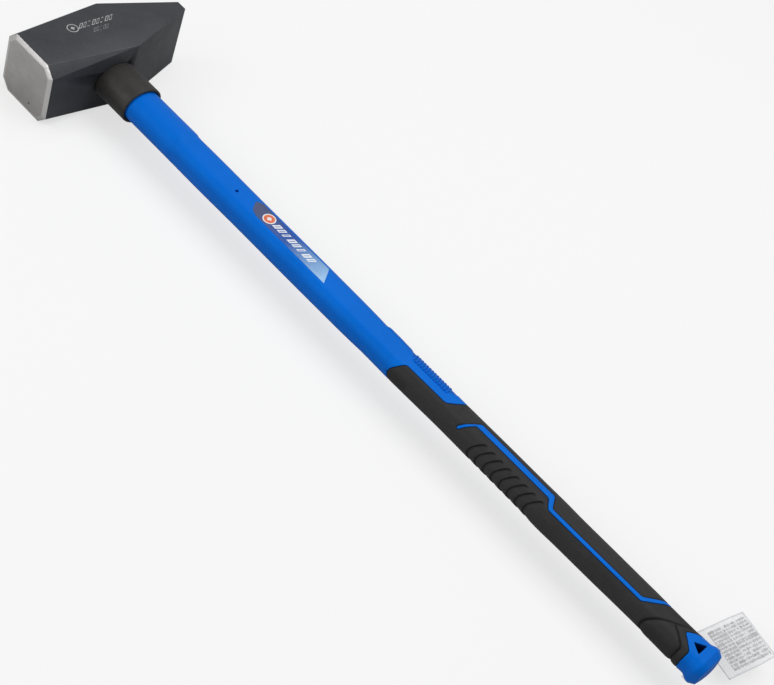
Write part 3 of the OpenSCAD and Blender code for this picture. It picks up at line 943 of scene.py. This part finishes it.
FOLD = next(j for j in frame["joints"] if j["name"] == "tag_fold")
FOLD_POINT = np.array(FOLD["pos_m"]) / MM
FOLD_AXIS = np.array(FOLD["axis"])
TAG_LENGTH, TAG_WIDTH = 50.0, 60.0
TAG_MARGIN, TAG_HEM, TAG_NECK = 5.0, 3.0, 11.0
TAG_MID_Z = (POCKET_LOW[2] + POCKET_HIGH[2]) / 2


def tag_place(points):
    """Points given along the fold, away from it and up, as points of the row frame."""
    points = np.asarray(points, float)
    along, away, up = points.T
    far = away / TAG_WIDTH
    wave = 1.1 * far**2 * np.cos(along / TAG_LENGTH * 5.2 + 0.6)
    curl = 2.6 * np.clip(far - 0.55, 0, 1) ** 2 * 4 * (0.35 + 0.65 * (along > 0) * along / 25)
    across = np.array([-FOLD_AXIS[1], FOLD_AXIS[0], 0])
    base = FOLD_POINT * (1, 1, 0) + (0, 0, TAG_MID_Z)
    flat = base + along[:, None] * FOLD_AXIS + away[:, None] * across
    flat[:, 2] += up + wave + curl
    return flat


def sheet_mesh(name, low, high, thick, cells, edge=0.0):
    """A thin closed sheet in the tag's own plane; edge is how far its outline wanders."""
    (a0, b0), (a1, b1) = low, high
    na, nb = cells
    grid_a, grid_b = np.meshgrid(np.linspace(0, 1, na), np.linspace(0, 1, nb))
    share_a, share_b = grid_a.ravel(), grid_b.ravel()
    along = a0 + (a1 - a0) * share_a
    away = b0 + (b1 - b0) * share_b
    along = along - edge * (0.5 + 0.5 * np.sin(share_b * 6 + 1)) * (2 * share_a - 1) * share_b
    away = away - edge * (1 - np.cos(share_a * 7)) * 0.5 * share_b**3
    n = na * nb
    top = np.stack([along, away, np.full(n, thick / 2)], 1)
    points = np.concatenate([top, top * (1, 1, -1)])
    quads = [[j * na + i, j * na + i + 1, (j + 1) * na + i + 1,
        (j + 1) * na + i] for j in range(nb - 1) for i in range(na - 1)]
    faces = quads + [[n + v for v in q[::-1]] for q in quads]
    rim = [i for i in range(na)]
    rim += [j * na + na - 1 for j in range(1, nb)]
    rim += [(nb - 1) * na + i for i in range(na - 2, -1, -1)]
    rim += [j * na for j in range(nb - 2, 0, -1)]
    faces += [[b, a, n + a, n + b] for a, b in zip(rim, rim[1:] + rim[:1])]
    made = bpy.data.meshes.new(name)
    made.from_pydata((tag_place(points) * MM).tolist(), [], faces)
    at_rim = np.zeros(2 * n, np.float32)
    at_rim[rim] = 1
    at_rim[n:] = at_rim[:n]
    made.attributes.new("rim", "FLOAT", "POINT").data.foreach_set("value", at_rim)
    return made


# The card's print: the middle of a block, its size, its columns and rows, and its density
PRINT_BLOCKS = [
    ((0, 20.5), (38, 17.5), 12, 14, 0.9),
    ((9.5, 44.3), (19, 25.5), 6, 20, 0.9),
    ((-10.5, 32.6), (17, 1.3), 6, 2, 0.95),
    ((-10.5, 39.6), (17, 8.4), 6, 7, 0.9),
    ((-10.5, 51.6), (17, 10.8), 6, 9, 0.9),
    ((17.2, 41.5), (3.5, 0.5), 2, 2, 1.0),
]
BAR_HEIGHT = 0.78
PRINT_LIFT = 0.19


def tag_print_mesh(maker, material):
    """The card's print: blocks of short grey bars that stand for small type."""
    made = bmesh.new()
    for k, (middle, (width, height), columns, rows, density) in enumerate(PRINT_BLOCKS):
        part = maker.run(
            f"print_{k}", Columns=columns, Rows=rows, Width=width, Height=height,
            Bar_Height=BAR_HEIGHT, Density=density, Seed=11 + k, Material=material,
        )
        for v in part.vertices:
            spot = (v.co.x + middle[0], v.co.y + middle[1], PRINT_LIFT)
            v.co = Vector(tag_place([spot])[0] * MM)
        made.from_mesh(part)
    mesh = bpy.data.meshes.new("tag_card_print")
    made.to_mesh(mesh)
    made.free()
    return mesh


# ---- Shader groups ----


class Effect(Wiring):
    """A shader group: a vector and named numbers go in, and named values come out."""

    def __init__(self, name, **inputs):
        self.tree = bpy.data.node_groups.new(name, "ShaderNodeTree")
        self.socket("Vector", "INPUT", "Vector")
        for label, value in inputs.items():
            self.socket(label, "INPUT", "Float").default_value = value
        self.given = self.tree.nodes.new("NodeGroupInput").outputs

    def node(self, kind, settings=None, **inputs):
        return wire(self.tree, "ShaderNode" + kind, settings, **inputs).outputs

    def pattern(self, kind, scale, settings=None, **inputs):
        """A texture at the group's own place."""
        return self.node(kind, settings, Vector=self.given["Vector"], Scale=scale, **inputs)[0]

    def place(self):
        return self.node("SeparateXYZ", Vector=self.given["Vector"])

    def finish(self, **outputs):
        for label in outputs:
            self.socket(label, "OUTPUT", "Float")
        out = self.tree.nodes.new("NodeGroupOutput")
        for label, value in outputs.items():
            self.tree.links.new(value, out.inputs[label])
        return self.tree


def mottle_group():
    """Cloudy and fine unevenness, as a value round 0.5."""
    e = Effect("mottle", Size=0.01, Fine_Share=0.4)
    scale = e.calc("DIVIDE", 1.0, e.given["Size"])
    coarse = e.pattern("TexNoise", scale, Detail=3.0)
    fine = e.pattern("TexNoise", e.calc("MULTIPLY", scale, 7.0), Detail=4.0)
    mixed = e.node("Mix", i_0=e.given["Fine Share"], i_2=coarse, i_3=fine)
    return e.finish(Value=mixed[0])


def grain_group():
    """A fine moulded or sprayed grain, as a height."""
    e = Effect("moulded_grain", Size=0.0006)
    scale = e.calc("DIVIDE", 1.0, e.given["Size"])
    cells = e.pattern("TexVoronoi", scale, {"feature": "SMOOTH_F1"}, Smoothness=0.6)
    noise = e.pattern("TexNoise", scale, Detail=2.0)
    return e.finish(Height=e.calc("ADD", cells, noise))


def bars_group():
    """A row of hollow slanted bars that stands for lettering, as a mask."""
    e = Effect(
        "slanted_bars",
        Start_X=0.0, Middle_Y=0.0, Length=0.05, Height=0.006, Slant=0.5, Count=7.0, Slit=0.075,
    )
    get, at = e.given, e.place()
    y = e.calc("SUBTRACT", at[1], get["Middle Y"])
    x = e.calc("SUBTRACT", at[0], get["Start X"])
    straight = e.calc("SUBTRACT", x, e.calc("MULTIPLY", y, get["Slant"]))
    share = e.calc("DIVIDE", straight, get["Length"])
    place = e.calc("MULTIPLY", share, get["Count"])
    cell = e.calc("FLOOR", place)
    part = e.calc("SUBTRACT", place, cell)
    fill = e.calc("MULTIPLY_ADD", e.calc("MODULO", cell, 3.0), -0.16, 0.74)
    bar = e.calc("LESS_THAN", part, fill)
    off = e.calc("ABSOLUTE", e.calc("SUBTRACT", part, e.calc("MULTIPLY", fill, 0.5)))
    reach = e.calc("DIVIDE", e.calc("ABSOLUTE", y), get["Height"])
    side = e.calc("GREATER_THAN", off, get["Slit"])
    body = e.calc("MAXIMUM", side, e.calc("GREATER_THAN", reach, 0.36))
    mask = e.calc("MULTIPLY", e.calc("MULTIPLY", bar, body), e.calc("LESS_THAN", reach, 0.5))
    after, before = e.calc("GREATER_THAN", share, 0.0), e.calc("LESS_THAN", share, 1.0)
    return e.finish(Mask=e.calc("MULTIPLY", mask, e.calc("MULTIPLY", after, before)))


def disc_group():
    """Masks for a round emblem: the whole disc, its rim, and a plain square in its middle."""
    e = Effect("round_emblem", X=0.0, Y=0.0, Radius=0.006, Rim=0.001)
    get, at = e.given, e.place()
    x, y = e.calc("SUBTRACT", at[0], get["X"]), e.calc("SUBTRACT", at[1], get["Y"])
    away = e.calc("SQRT", e.calc("ADD", e.calc("MULTIPLY", x, x), e.calc("MULTIPLY", y, y)))
    disc = e.calc("LESS_THAN", away, get["Radius"])
    inner = e.calc("SUBTRACT", get["Radius"], get["Rim"])
    rim = e.calc("MULTIPLY", disc, e.calc("GREATER_THAN", away, inner))
    spread = e.calc("ADD", e.calc("ABSOLUTE", x), e.calc("ABSOLUTE", y))
    square = e.calc("LESS_THAN", spread, e.calc("MULTIPLY", get["Radius"], 0.42))
    return e.finish(Disc=disc, Rim=rim, Square=square)


def moulding_and_shade_group():
    """Painted shade in seams and grooves and the mould's hatched places, as values, and the
    hatching's height.
    """
    e = Effect("moulding_marks", Pitch=0.0017)
    # The crease attribute is painted shade for seams and grooves.
    crease, hatched = (
        e.node("Attribute", {"attribute_name": label})["Fac"] for label in ("crease", "hatching")
    )
    x, y, z = e.place()
    rate = e.calc("DIVIDE", 2 * math.pi, e.given["Pitch"])
    around = e.calc("ADD", y, z)
    waves = [
        e.calc("SINE", e.calc("MULTIPLY", e.calc(way, x, around), rate))
        for way in ("ADD", "SUBTRACT")
    ]
    weave = e.calc("MULTIPLY", e.calc("MULTIPLY", *waves), hatched)
    return e.finish(Crease=crease, Hatched=hatched, Weave=weave)


MOTTLE, GRAIN, BARS, EMBLEM = mottle_group(), grain_group(), bars_group(), disc_group()
MOULDING_AND_SHADE = moulding_and_shade_group()


# ---- Materials ----


class Finish(Wiring):
    """One material: a Principled shader with helpers for what feeds it."""

    def __init__(self, name, roughness, specular=0.5, metallic=0.0, **constants):
        self.material = bpy.data.materials.new(name)
        self.material.use_nodes = True
        self.tree = self.material.node_tree
        self.shader = self.tree.nodes["Principled BSDF"]
        self.object = self.tree.nodes.new("ShaderNodeTexCoord").outputs["Object"]
        self.set(Roughness=roughness, Metallic=metallic, Specular_IOR_Level=specular)
        self.set(**constants)

    def set(self, **inputs):
        for label, value in inputs.items():
            socket = self.shader.inputs[label.replace("_", " ")]
            if isinstance(value, bpy.types.NodeSocket):
                self.tree.links.new(value, socket)
            else:
                socket.default_value = value

    def node(self, kind, settings=None, **inputs):
        return wire(self.tree, "ShaderNode" + kind, settings, **inputs).outputs

    def effect(self, group, vector=None, **inputs):
        """A shader group at the object's own place, or at another one."""
        place = self.object if vector is None else vector
        return self.node("Group", {"node_tree": group}, Vector=place, **inputs)

    def mottle(self, size, fine=0.4):
        return self.effect(MOTTLE, Size=size, Fine_Share=fine)[0]

    def grain(self, size):
        return self.effect(GRAIN, Size=size)[0]

    def noise(self, x, y, z, detail):
        """Noise stretched along each axis."""
        place = self.node("Mapping", Vector=self.object, Scale=(x, y, z))[0]
        return self.node("TexNoise", Vector=place, Scale=1.0, Detail=detail)[0]

    def attribute(self, name):
        return self.node("Attribute", {"attribute_name": name})["Fac"]

    def between(self, value, low, high, start=0.3, end=0.7):
        """Turns a value that runs from start to end into one from low to high."""
        return self.node("MapRange", Value=value, i_1=start, i_2=end, i_3=low, i_4=high)[0]

    def mix(self, share, a, b):
        """A colour between two, each given as three numbers or as a socket."""
        made = self.tree.nodes.new("ShaderNodeMix")
        made.data_type = "RGBA"
        for socket, value in ((0, share), (6, a), (7, b)):
            if isinstance(value, bpy.types.NodeSocket):
                self.tree.links.new(value, made.inputs[socket])
            else:
                made.inputs[socket].default_value = (*value, 1.0) if socket else value
        return made.outputs[2]

    def tones(self, cloud, low, high):
        """A colour that wanders between two with a mottled value."""
        return self.mix(self.between(cloud, 0, 1), low, high)

    def bump(self, height, distance, strength=1.0, normal=None):
        first = {} if normal is None else {"Normal": normal}
        return self.node("Bump", Height=height, Distance=distance, Strength=strength, **first)[0]


MARK_X, MARK_Y = -12.3, -23.2


def etched_mark(f):
    """A mask on the upper cheek: a ring with a square in it, and two rows of bars."""
    place = {"Location": (MARK_X * MM, MARK_Y * MM, 0), "Rotation": (0, 0, math.pi / 2)}
    turned = f.node("Mapping", {"vector_type": "TEXTURE"}, Vector=f.object, **place)[0]

    def row(start, middle, length, height, slant, count, slit):
        sizes = {"Start_X": start * MM, "Middle_Y": middle * MM, "Length": length * MM}
        sizes.update(Height=height * MM, Slant=slant, Count=count, Slit=slit)
        return f.effect(BARS, turned, **sizes)[0]

    ring = f.effect(EMBLEM, turned, X=0.0, Y=0.0, Radius=6.3 * MM, Rim=1.1 * MM)
    sign = f.calc("MAXIMUM", ring["Rim"], ring["Square"])
    sign = f.calc("MAXIMUM", sign, row(8.3, 0.0, 44, 6.7, 1.0, 8.0, 0.2))
    faint = f.calc("MULTIPLY", row(19, -10.4, 20.5, 5.4, 0.85, 5.0, 0.22), 0.45)
    sign = f.calc("MAXIMUM", sign, faint)
    high = f.node("SeparateXYZ", Vector=f.object)[2]
    upper = f.calc("GREATER_THAN", high, HEAD_HIGH[2] * MM - 0.0005)
    patchy = f.between(f.mottle(0.0025, 0.5), 0.45, 0.95)
    return f.calc("MULTIPLY", f.calc("MULTIPLY", sign, upper), patchy)


def painted_steel(name="forged_steel_coating", worn=0.0):
    """Dark phosphated and oiled steel, with a light etched mark on the upper cheek."""
    f = Finish(name, 0.42, specular=0.42)
    base = f.tones(f.mottle(0.03, 0.35), (0.036, 0.038, 0.045), (0.056, 0.059, 0.069))
    if worn:
        share = f.calc("MULTIPLY", f.between(f.mottle(0.004, 0.6), 0, 1, 0.46, 0.62), worn)
        base = f.mix(share, base, (0.20, 0.20, 0.205))
        f.set(Metallic=f.calc("MULTIPLY", share, 0.5))
    else:
        base = f.mix(etched_mark(f), base, (0.60, 0.60, 0.60))
    f.set(Base_Color=base, Roughness=f.between(f.mottle(0.012, 0.5), 0.36, 0.50))
    wide = f.bump(f.mottle(0.02, 0.1), 0.0012, 0.12)
    f.set(Normal=f.bump(f.grain(0.0009), 0.0001, 0.5, wide))
    return f.material


def ground_steel(name="ground_steel", low=(0.60, 0.58, 0.565), high=(0.74, 0.72, 0.70)):
    """Bare steel ground on a belt, with fine scratches and a few pits."""
    f = Finish(name, 0.36, metallic=1.0, Anisotropic=0.2)
    scratch, coarse = f.noise(60, 1, 1400, 4.0), f.noise(25, 1, 320, 3.0)
    tone = f.tones(f.mottle(0.02, 0.3), low, high)
    tone = f.mix(f.between(scratch, 0, 0.35), tone, tuple(0.75 * part for part in low))
    pits = f.node("TexVoronoi", Vector=f.object, Scale=110.0)["Distance"]
    sparse = f.node("TexNoise", Vector=f.object, Scale=45.0)[0]
    dot = f.calc("LESS_THAN", pits, 0.16)
    pitted = f.calc("MULTIPLY", dot, f.calc("GREATER_THAN", sparse, 0.62))
    f.set(Base_Color=f.mix(f.calc("MULTIPLY", pitted, 0.8), tone, (0.09, 0.08, 0.075)))
    f.set(Roughness=f.between(coarse, 0.30, 0.44))
    ground = f.bump(scratch, 0.00004, 0.7)
    f.set(Normal=f.bump(f.calc("SUBTRACT", 1.0, pitted), 0.0003, 0.8, ground))
    return f.material


def blue_plastic():
    """Satin polypropylene in a strong blue, with flow marks and a very fine grain."""
    tint = (0.12, 0.45, 1.0, 1.0)
    f = Finish("blue_polypropylene", 0.45, specular=0.3, Specular_Tint=tint)
    marks = f.effect(MOULDING_AND_SHADE, Pitch=1.3 * MM)
    tone = f.tones(f.mottle(0.06, 0.25), (0.0, 0.138, 0.640), (0.001, 0.160, 0.730))
    # The crease value mixes the blue towards near-black navy: painted shade in seams and grooves.
    dark = f.calc("MULTIPLY", marks["Crease"], 0.9)
    f.set(Base_Color=f.mix(dark, tone, (0.001, 0.010, 0.055)))
    f.set(Roughness=f.between(f.mottle(0.01, 0.5), 0.40, 0.50))
    flow = f.bump(f.noise(8, 60, 60, 2.0), 0.0006, 0.25)
    smooth = f.bump(f.grain(0.0007), 0.00006, 0.35, flow)
    f.set(Normal=f.bump(marks["Weave"], 0.00025, 0.6, smooth))
    return f.material


def grip_rubber():
    """Black thermoplastic rubber: smooth matt pads, and fine hatching on the rest."""
    f = Finish("black_grip_rubber", 0.6, specular=0.28, Sheen_Weight=0.05)
    crease, hatched, weave = f.effect(MOULDING_AND_SHADE, Pitch=1.75 * MM)
    plain = f.tones(f.mottle(0.02, 0.5), (0.0150, 0.0150, 0.0155), (0.022, 0.022, 0.0225))
    # The hatching's raised lines are painted lighter than its hollows: a painted highlight that
    # follows the weave's height.
    lines = f.between(weave, 0, 1, -0.6, 0.6)
    ridge_highlit_hatching = f.mix(lines, (0.016, 0.016, 0.0165), (0.050, 0.050, 0.051))
    tone = f.mix(hatched, plain, ridge_highlit_hatching)
    # The crease value darkens the rubber to near black: painted shade in seams and grooves.
    f.set(Base_Color=f.mix(f.calc("MULTIPLY", crease, 0.85), tone, (0.003, 0.003, 0.003)))
    f.set(Roughness=f.between(f.mottle(0.006, 0.5), 0.52, 0.66))
    f.set(Normal=f.bump(weave, 0.0003, 0.6, f.bump(f.grain(0.0006), 0.00012, 0.5)))
    return f.material


def collar_rubber():
    """Dull black rubber with a slightly brown, dusty bloom."""
    f = Finish("collar_rubber", 0.5, specular=0.35, Sheen_Weight=0.1)
    tone = f.tones(f.mottle(0.015, 0.5), (0.017, 0.0155, 0.0150), (0.034, 0.031, 0.029))
    f.set(Base_Color=tone, Roughness=f.between(f.mottle(0.008, 0.4), 0.40, 0.58))
    drawn = f.bump(f.noise(20, 160, 160, 3.0), 0.0005, 0.3)
    f.set(Normal=f.bump(f.grain(0.0008), 0.00012, 0.4, drawn))
    return f.material


def cast_resin():
    """Dark cast epoxy that fills the eye, with a few small bubbles."""
    f = Finish("cast_resin", 0.25, Coat_Weight=0.2)
    cloud = f.mottle(0.006, 0.3)
    f.set(Base_Color=f.tones(cloud, (0.035, 0.026, 0.018), (0.075, 0.058, 0.04)))
    bubbles = f.node("TexVoronoi", Vector=f.object, Scale=520.0)["Distance"]
    f.set(Normal=f.bump(f.between(bubbles, 0, 1, 0.0, 0.25), 0.0002, 0.5))
    f.set(Roughness=f.between(cloud, 0.18, 0.34))
    return f.material


def glass_fibre():
    """Pultruded glass fibre: sawn bundle ends, and drawn lines along the sides."""
    f = Finish("pultruded_glass_fibre", 0.5)
    flat = f.node("Mapping", Vector=f.object, Scale=(0.02, 1, 1))[0]
    cut = f.node("TexVoronoi", Vector=flat, Scale=1500.0)["Distance"]
    drawn = f.noise(12, 900, 900, 3.0)
    tone = f.mix(cut, (0.66, 0.60, 0.40), (0.42, 0.36, 0.21))
    f.set(Base_Color=f.mix(f.between(drawn, 0, 0.5), tone, (0.78, 0.74, 0.56)))
    f.set(Roughness=f.between(drawn, 0.42, 0.62), Normal=f.bump(cut, 0.0002, 0.5))
    return f.material


def label_print():
    """The handle's label: a fade from slate to pale blue, an emblem and slanted bars."""
    f = Finish("printed_label", 0.28, Coat_Weight=0.3)
    start, end = LABEL_LOW[0] * MM, LABEL_HIGH[0] * MM
    x = f.node("SeparateXYZ", Vector=f.object)[0]
    dark = f.mix(f.mottle(0.004, 0.3), (0.075, 0.085, 0.17), (0.055, 0.085, 0.22))
    first = f.between(x, 0, 1, start + 0.012, start + 0.050)
    last = f.between(x, 0, 1, start + 0.058, end - 0.004)
    tone = f.mix(last, f.mix(first, dark, (0.012, 0.085, 0.40)), (0.30, 0.55, 0.86))
    row = {"Middle_Y": 1.4 * MM, "Length": 58 * MM, "Height": 7.6 * MM, "Slant": 0.5}
    bars = f.effect(BARS, Start_X=start + 34.5 * MM, Count=8.0, **row)[0]
    tone = f.mix(bars, tone, (0.86, 0.90, 0.95))
    middle = {"X": start + 25 * MM, "Y": 1.2 * MM}
    disc = f.effect(EMBLEM, Radius=7.0 * MM, Rim=1.3 * MM, **middle)
    tone = f.mix(disc["Disc"], tone, (0.80, 0.16, 0.06))
    white = f.calc("MAXIMUM", disc["Rim"], disc["Square"])
    f.set(Base_Color=f.mix(white, tone, (0.90, 0.89, 0.88)))
    f.set(Roughness=f.between(f.mottle(0.01, 0.5), 0.24, 0.36))
    f.set(Normal=f.bump(f.mottle(0.01, 0.6), 0.0003, 0.15))
    return f.material


def tag_film():
    """Clear plastic film, a little milky where it is creased, and cloudier at its rim."""
    f = Finish("clear_film", 0.16, specular=0.5)
    crease, rim = f.mottle(0.006, 0.5), f.attribute("rim")
    milky = f.tones(crease, (0.84, 0.85, 0.88), (0.94, 0.94, 0.96))
    f.set(Base_Color=f.mix(rim, milky, (0.66, 0.67, 0.71)))
    f.set(Alpha=f.calc("MULTIPLY_ADD", rim, 0.3, f.between(crease, 0.16, 0.36)))
    f.set(Roughness=f.between(crease, 0.1, 0.26), Normal=f.bump(crease, 0.0012, 0.5))
    return f.material


def tag_paper():
    """White synthetic paper with a faint fibre."""
    f = Finish("tag_paper", 0.6, specular=0.3)
    fibre = f.mottle(0.002, 0.6)
    f.set(Base_Color=f.tones(fibre, (0.86, 0.86, 0.87), (0.94, 0.94, 0.95)))
    f.set(Roughness=f.between(fibre, 0.52, 0.68), Normal=f.bump(fibre, 0.0002, 0.3))
    return f.material


def tag_ink():
    """Grey print on the tag, a little uneven."""
    f = Finish("grey_ink", 0.5, specular=0.3)
    wear = f.mottle(0.0015, 0.5)
    f.set(Base_Color=f.tones(wear, (0.13, 0.13, 0.14), (0.34, 0.34, 0.35)))
    f.set(Roughness=f.between(wear, 0.45, 0.6))
    return f.material


# ---- Stage: camera, floor and light ----

LIT_POINT = Vector((0.42, 0.0, 0.04))


def softbox(name, towards, distance, size, watts, only_shine=False):
    """A rectangular lamp that faces the handle's middle from a distance."""
    light = bpy.data.lights.new(name, "AREA")
    light.shape, light.size, light.size_y = "RECTANGLE", size[0], size[1]
    light.energy = watts
    lamp = bpy.data.objects.new(name, light)
    lamp.location = LIT_POINT + Vector(towards).normalized() * distance
    lamp.rotation_mode = "QUATERNION"
    lamp.rotation_quaternion = Vector(towards).to_track_quat("Z", "Y")
    lamp.visible_diffuse = not only_shine
    bpy.context.scene.collection.objects.link(lamp)


def build_stage():
    scene = bpy.context.scene
    scene.view_settings.view_transform = "Standard"
    lens = bpy.data.cameras.new("camera")
    lens.lens, lens.sensor_width = 70.72, 36.0
    lens.clip_start, lens.clip_end = 0.05, 30.0
    camera = bpy.data.objects.new("camera", lens)
    right = Vector((0.66896, 0.67998, 0.30020))
    up = Vector((-0.66500, 0.36708, 0.65040))
    back = Vector((0.33206, -0.63473, 0.69775))
    turned = Matrix((right, up, back)).transposed().to_4x4()
    camera.matrix_world = Matrix.Translation((0.9262, -0.9034, 1.0385)) @ turned
    scene.collection.objects.link(camera)
    scene.camera = camera

    floor = bpy.data.objects.new("floor", bpy.data.meshes.new("floor"))
    bm = bmesh.new()
    bmesh.ops.create_grid(bm, x_segments=1, y_segments=1, size=9.0)
    bm.to_mesh(floor.data)
    bm.free()
    scene.collection.objects.link(floor)
    paper = Finish("studio_paper", 0.9, specular=0.1)
    seen = paper.node("LightPath")["Is Camera Ray"]
    cloth = paper.mix(paper.mottle(0.5, 0.3), (0.44, 0.44, 0.44), (0.46, 0.46, 0.46))
    paper.set(Base_Color=paper.mix(seen, cloth, (0.30, 0.30, 0.30)))
    paper.set(Emission_Color=(1, 1, 1, 1), Emission_Strength=paper.calc("MULTIPLY", seen, 0.66))
    floor.data.materials.append(paper.material)

    world = bpy.data.worlds.new("studio")
    world.use_nodes = True
    scene.world = world
    tree = world.node_tree
    backdrop = tree.nodes["Background"]
    backdrop.inputs["Color"].default_value = (1, 1, 1, 1)
    path = tree.nodes.new("ShaderNodeLightPath").outputs["Is Camera Ray"]
    level = wire(tree, "ShaderNodeMapRange", Value=path, i_3=0.32, i_4=1.0)
    tree.links.new(level.outputs[0], backdrop.inputs["Strength"])

    softbox("key_softbox", (-0.33, -0.74, 0.59), 2.4, (2.4, 1.0), 19)
    softbox("top_softbox", (0.05, 0.35, 1.0), 2.2, (2.6, 1.6), 29)
    softbox("edge_softbox", (-0.33, -0.94, 0.06), 2.0, (1.6, 0.4), 3.5, only_shine=True)


# ---- Putting the pieces together ----


def build_head(steel, worn, ground, highlit_bevel):
    mesh = head_mesh((steel, ground, worn, highlit_bevel))
    mark_worn_edges(mesh, 2)
    return add_piece(mesh, "hammer_head", HAMMER, [], "head", smooth=60)


def build_handle(blue, black, label, collar, resin, fibre):
    add_piece(resin_mesh(), "resin_filling", HAMMER, [resin], "eye_resin")
    add_piece(core_mesh(), "fibre_core", HAMMER, [fibre], "core_rod")
    add_piece(jacket_mesh(), "blue_jacket", HAMMER, [blue], "handle_jacket")
    add_piece(sleeve_mesh(), "soft_grip", HAMMER, [black], "grip_sleeve")
    add_piece(cap_mesh(), "blue_butt_cap", HAMMER, [blue], "butt_cap")
    add_piece(label_mesh(), "printed_label", HAMMER, [label], "handle_label")
    size = COLLAR_HIGH - COLLAR_LOW
    wall = (size[1] - NECK_SIZE[0]) / 2 - COLLAR_CLEARANCE
    ring = collar_maker().run(
        "collar_sweep",
        Half_Width=(size[1] - wall) / 2 * MM, Half_Thickness=(size[2] - wall) / 2 * MM,
        Wall=wall * MM, Length=size[0] * MM, Lip_Radius=1.6 * MM, Start=COLLAR_LOW[0] * MM,
        Height=MID_Z * MM, Side=NECK_LEAN * MM, Material=collar,
    )
    bm = bmesh.new()
    bm.from_mesh(ring)
    bmesh.ops.recalc_face_normals(bm, faces=bm.faces)
    bm.to_mesh(ring)
    bm.free()
    add_piece(ring, "rubber_collar", HAMMER, [], "neck_collar")
    sizes = {"Count": RIB_COUNT, "Pitch": RIB_PITCH * MM, "Half_Width": RIB_HALF_WIDTH * MM}
    ribs = rib_maker().run("rib_sweep", rib_start_mesh(), **sizes, Material=blue)
    add_piece(ribs, "thumb_ribs", HAMMER, [], None)


def build_tag(film, paper, ink):
    half = TAG_LENGTH / 2
    pocket = sheet_mesh("film_pocket", (-half, 0), (half, TAG_WIDTH), 0.7, (26, 31), 1.0)
    add_piece(pocket, "tag_film_pocket", TAG, [film], "tag_pocket")
    low, high = (TAG_MARGIN - half, TAG_NECK), (half - TAG_MARGIN, TAG_WIDTH - TAG_HEM)
    card = sheet_mesh("paper_card", low, high, 0.3, (21, 25))
    add_piece(card, "tag_paper_card", TAG, [paper], "tag_card")
    printed = tag_print_mesh(print_maker(), ink)
    add_piece(printed, "tag_printed_rows", TAG, [ink], None)
    tail = frame["nodes"]["tag_tail"].data
    tail.materials.clear()
    tail.materials.append(film)


build_stage()
# The fourth finish is a lighter copy of the ground steel: a painted highlight on the face's bevel
# ring.
build_head(painted_steel(), painted_steel("worn_steel_coating", 0.55), ground_steel(),
    ground_steel("polished_edge_steel", (0.84, 0.83, 0.82), (0.94, 0.93, 0.92)))
build_handle(blue_plastic(), grip_rubber(), label_print(), collar_rubber(), cast_resin(),
    glass_fibre())
build_tag(tag_film(), tag_paper(), tag_ink())
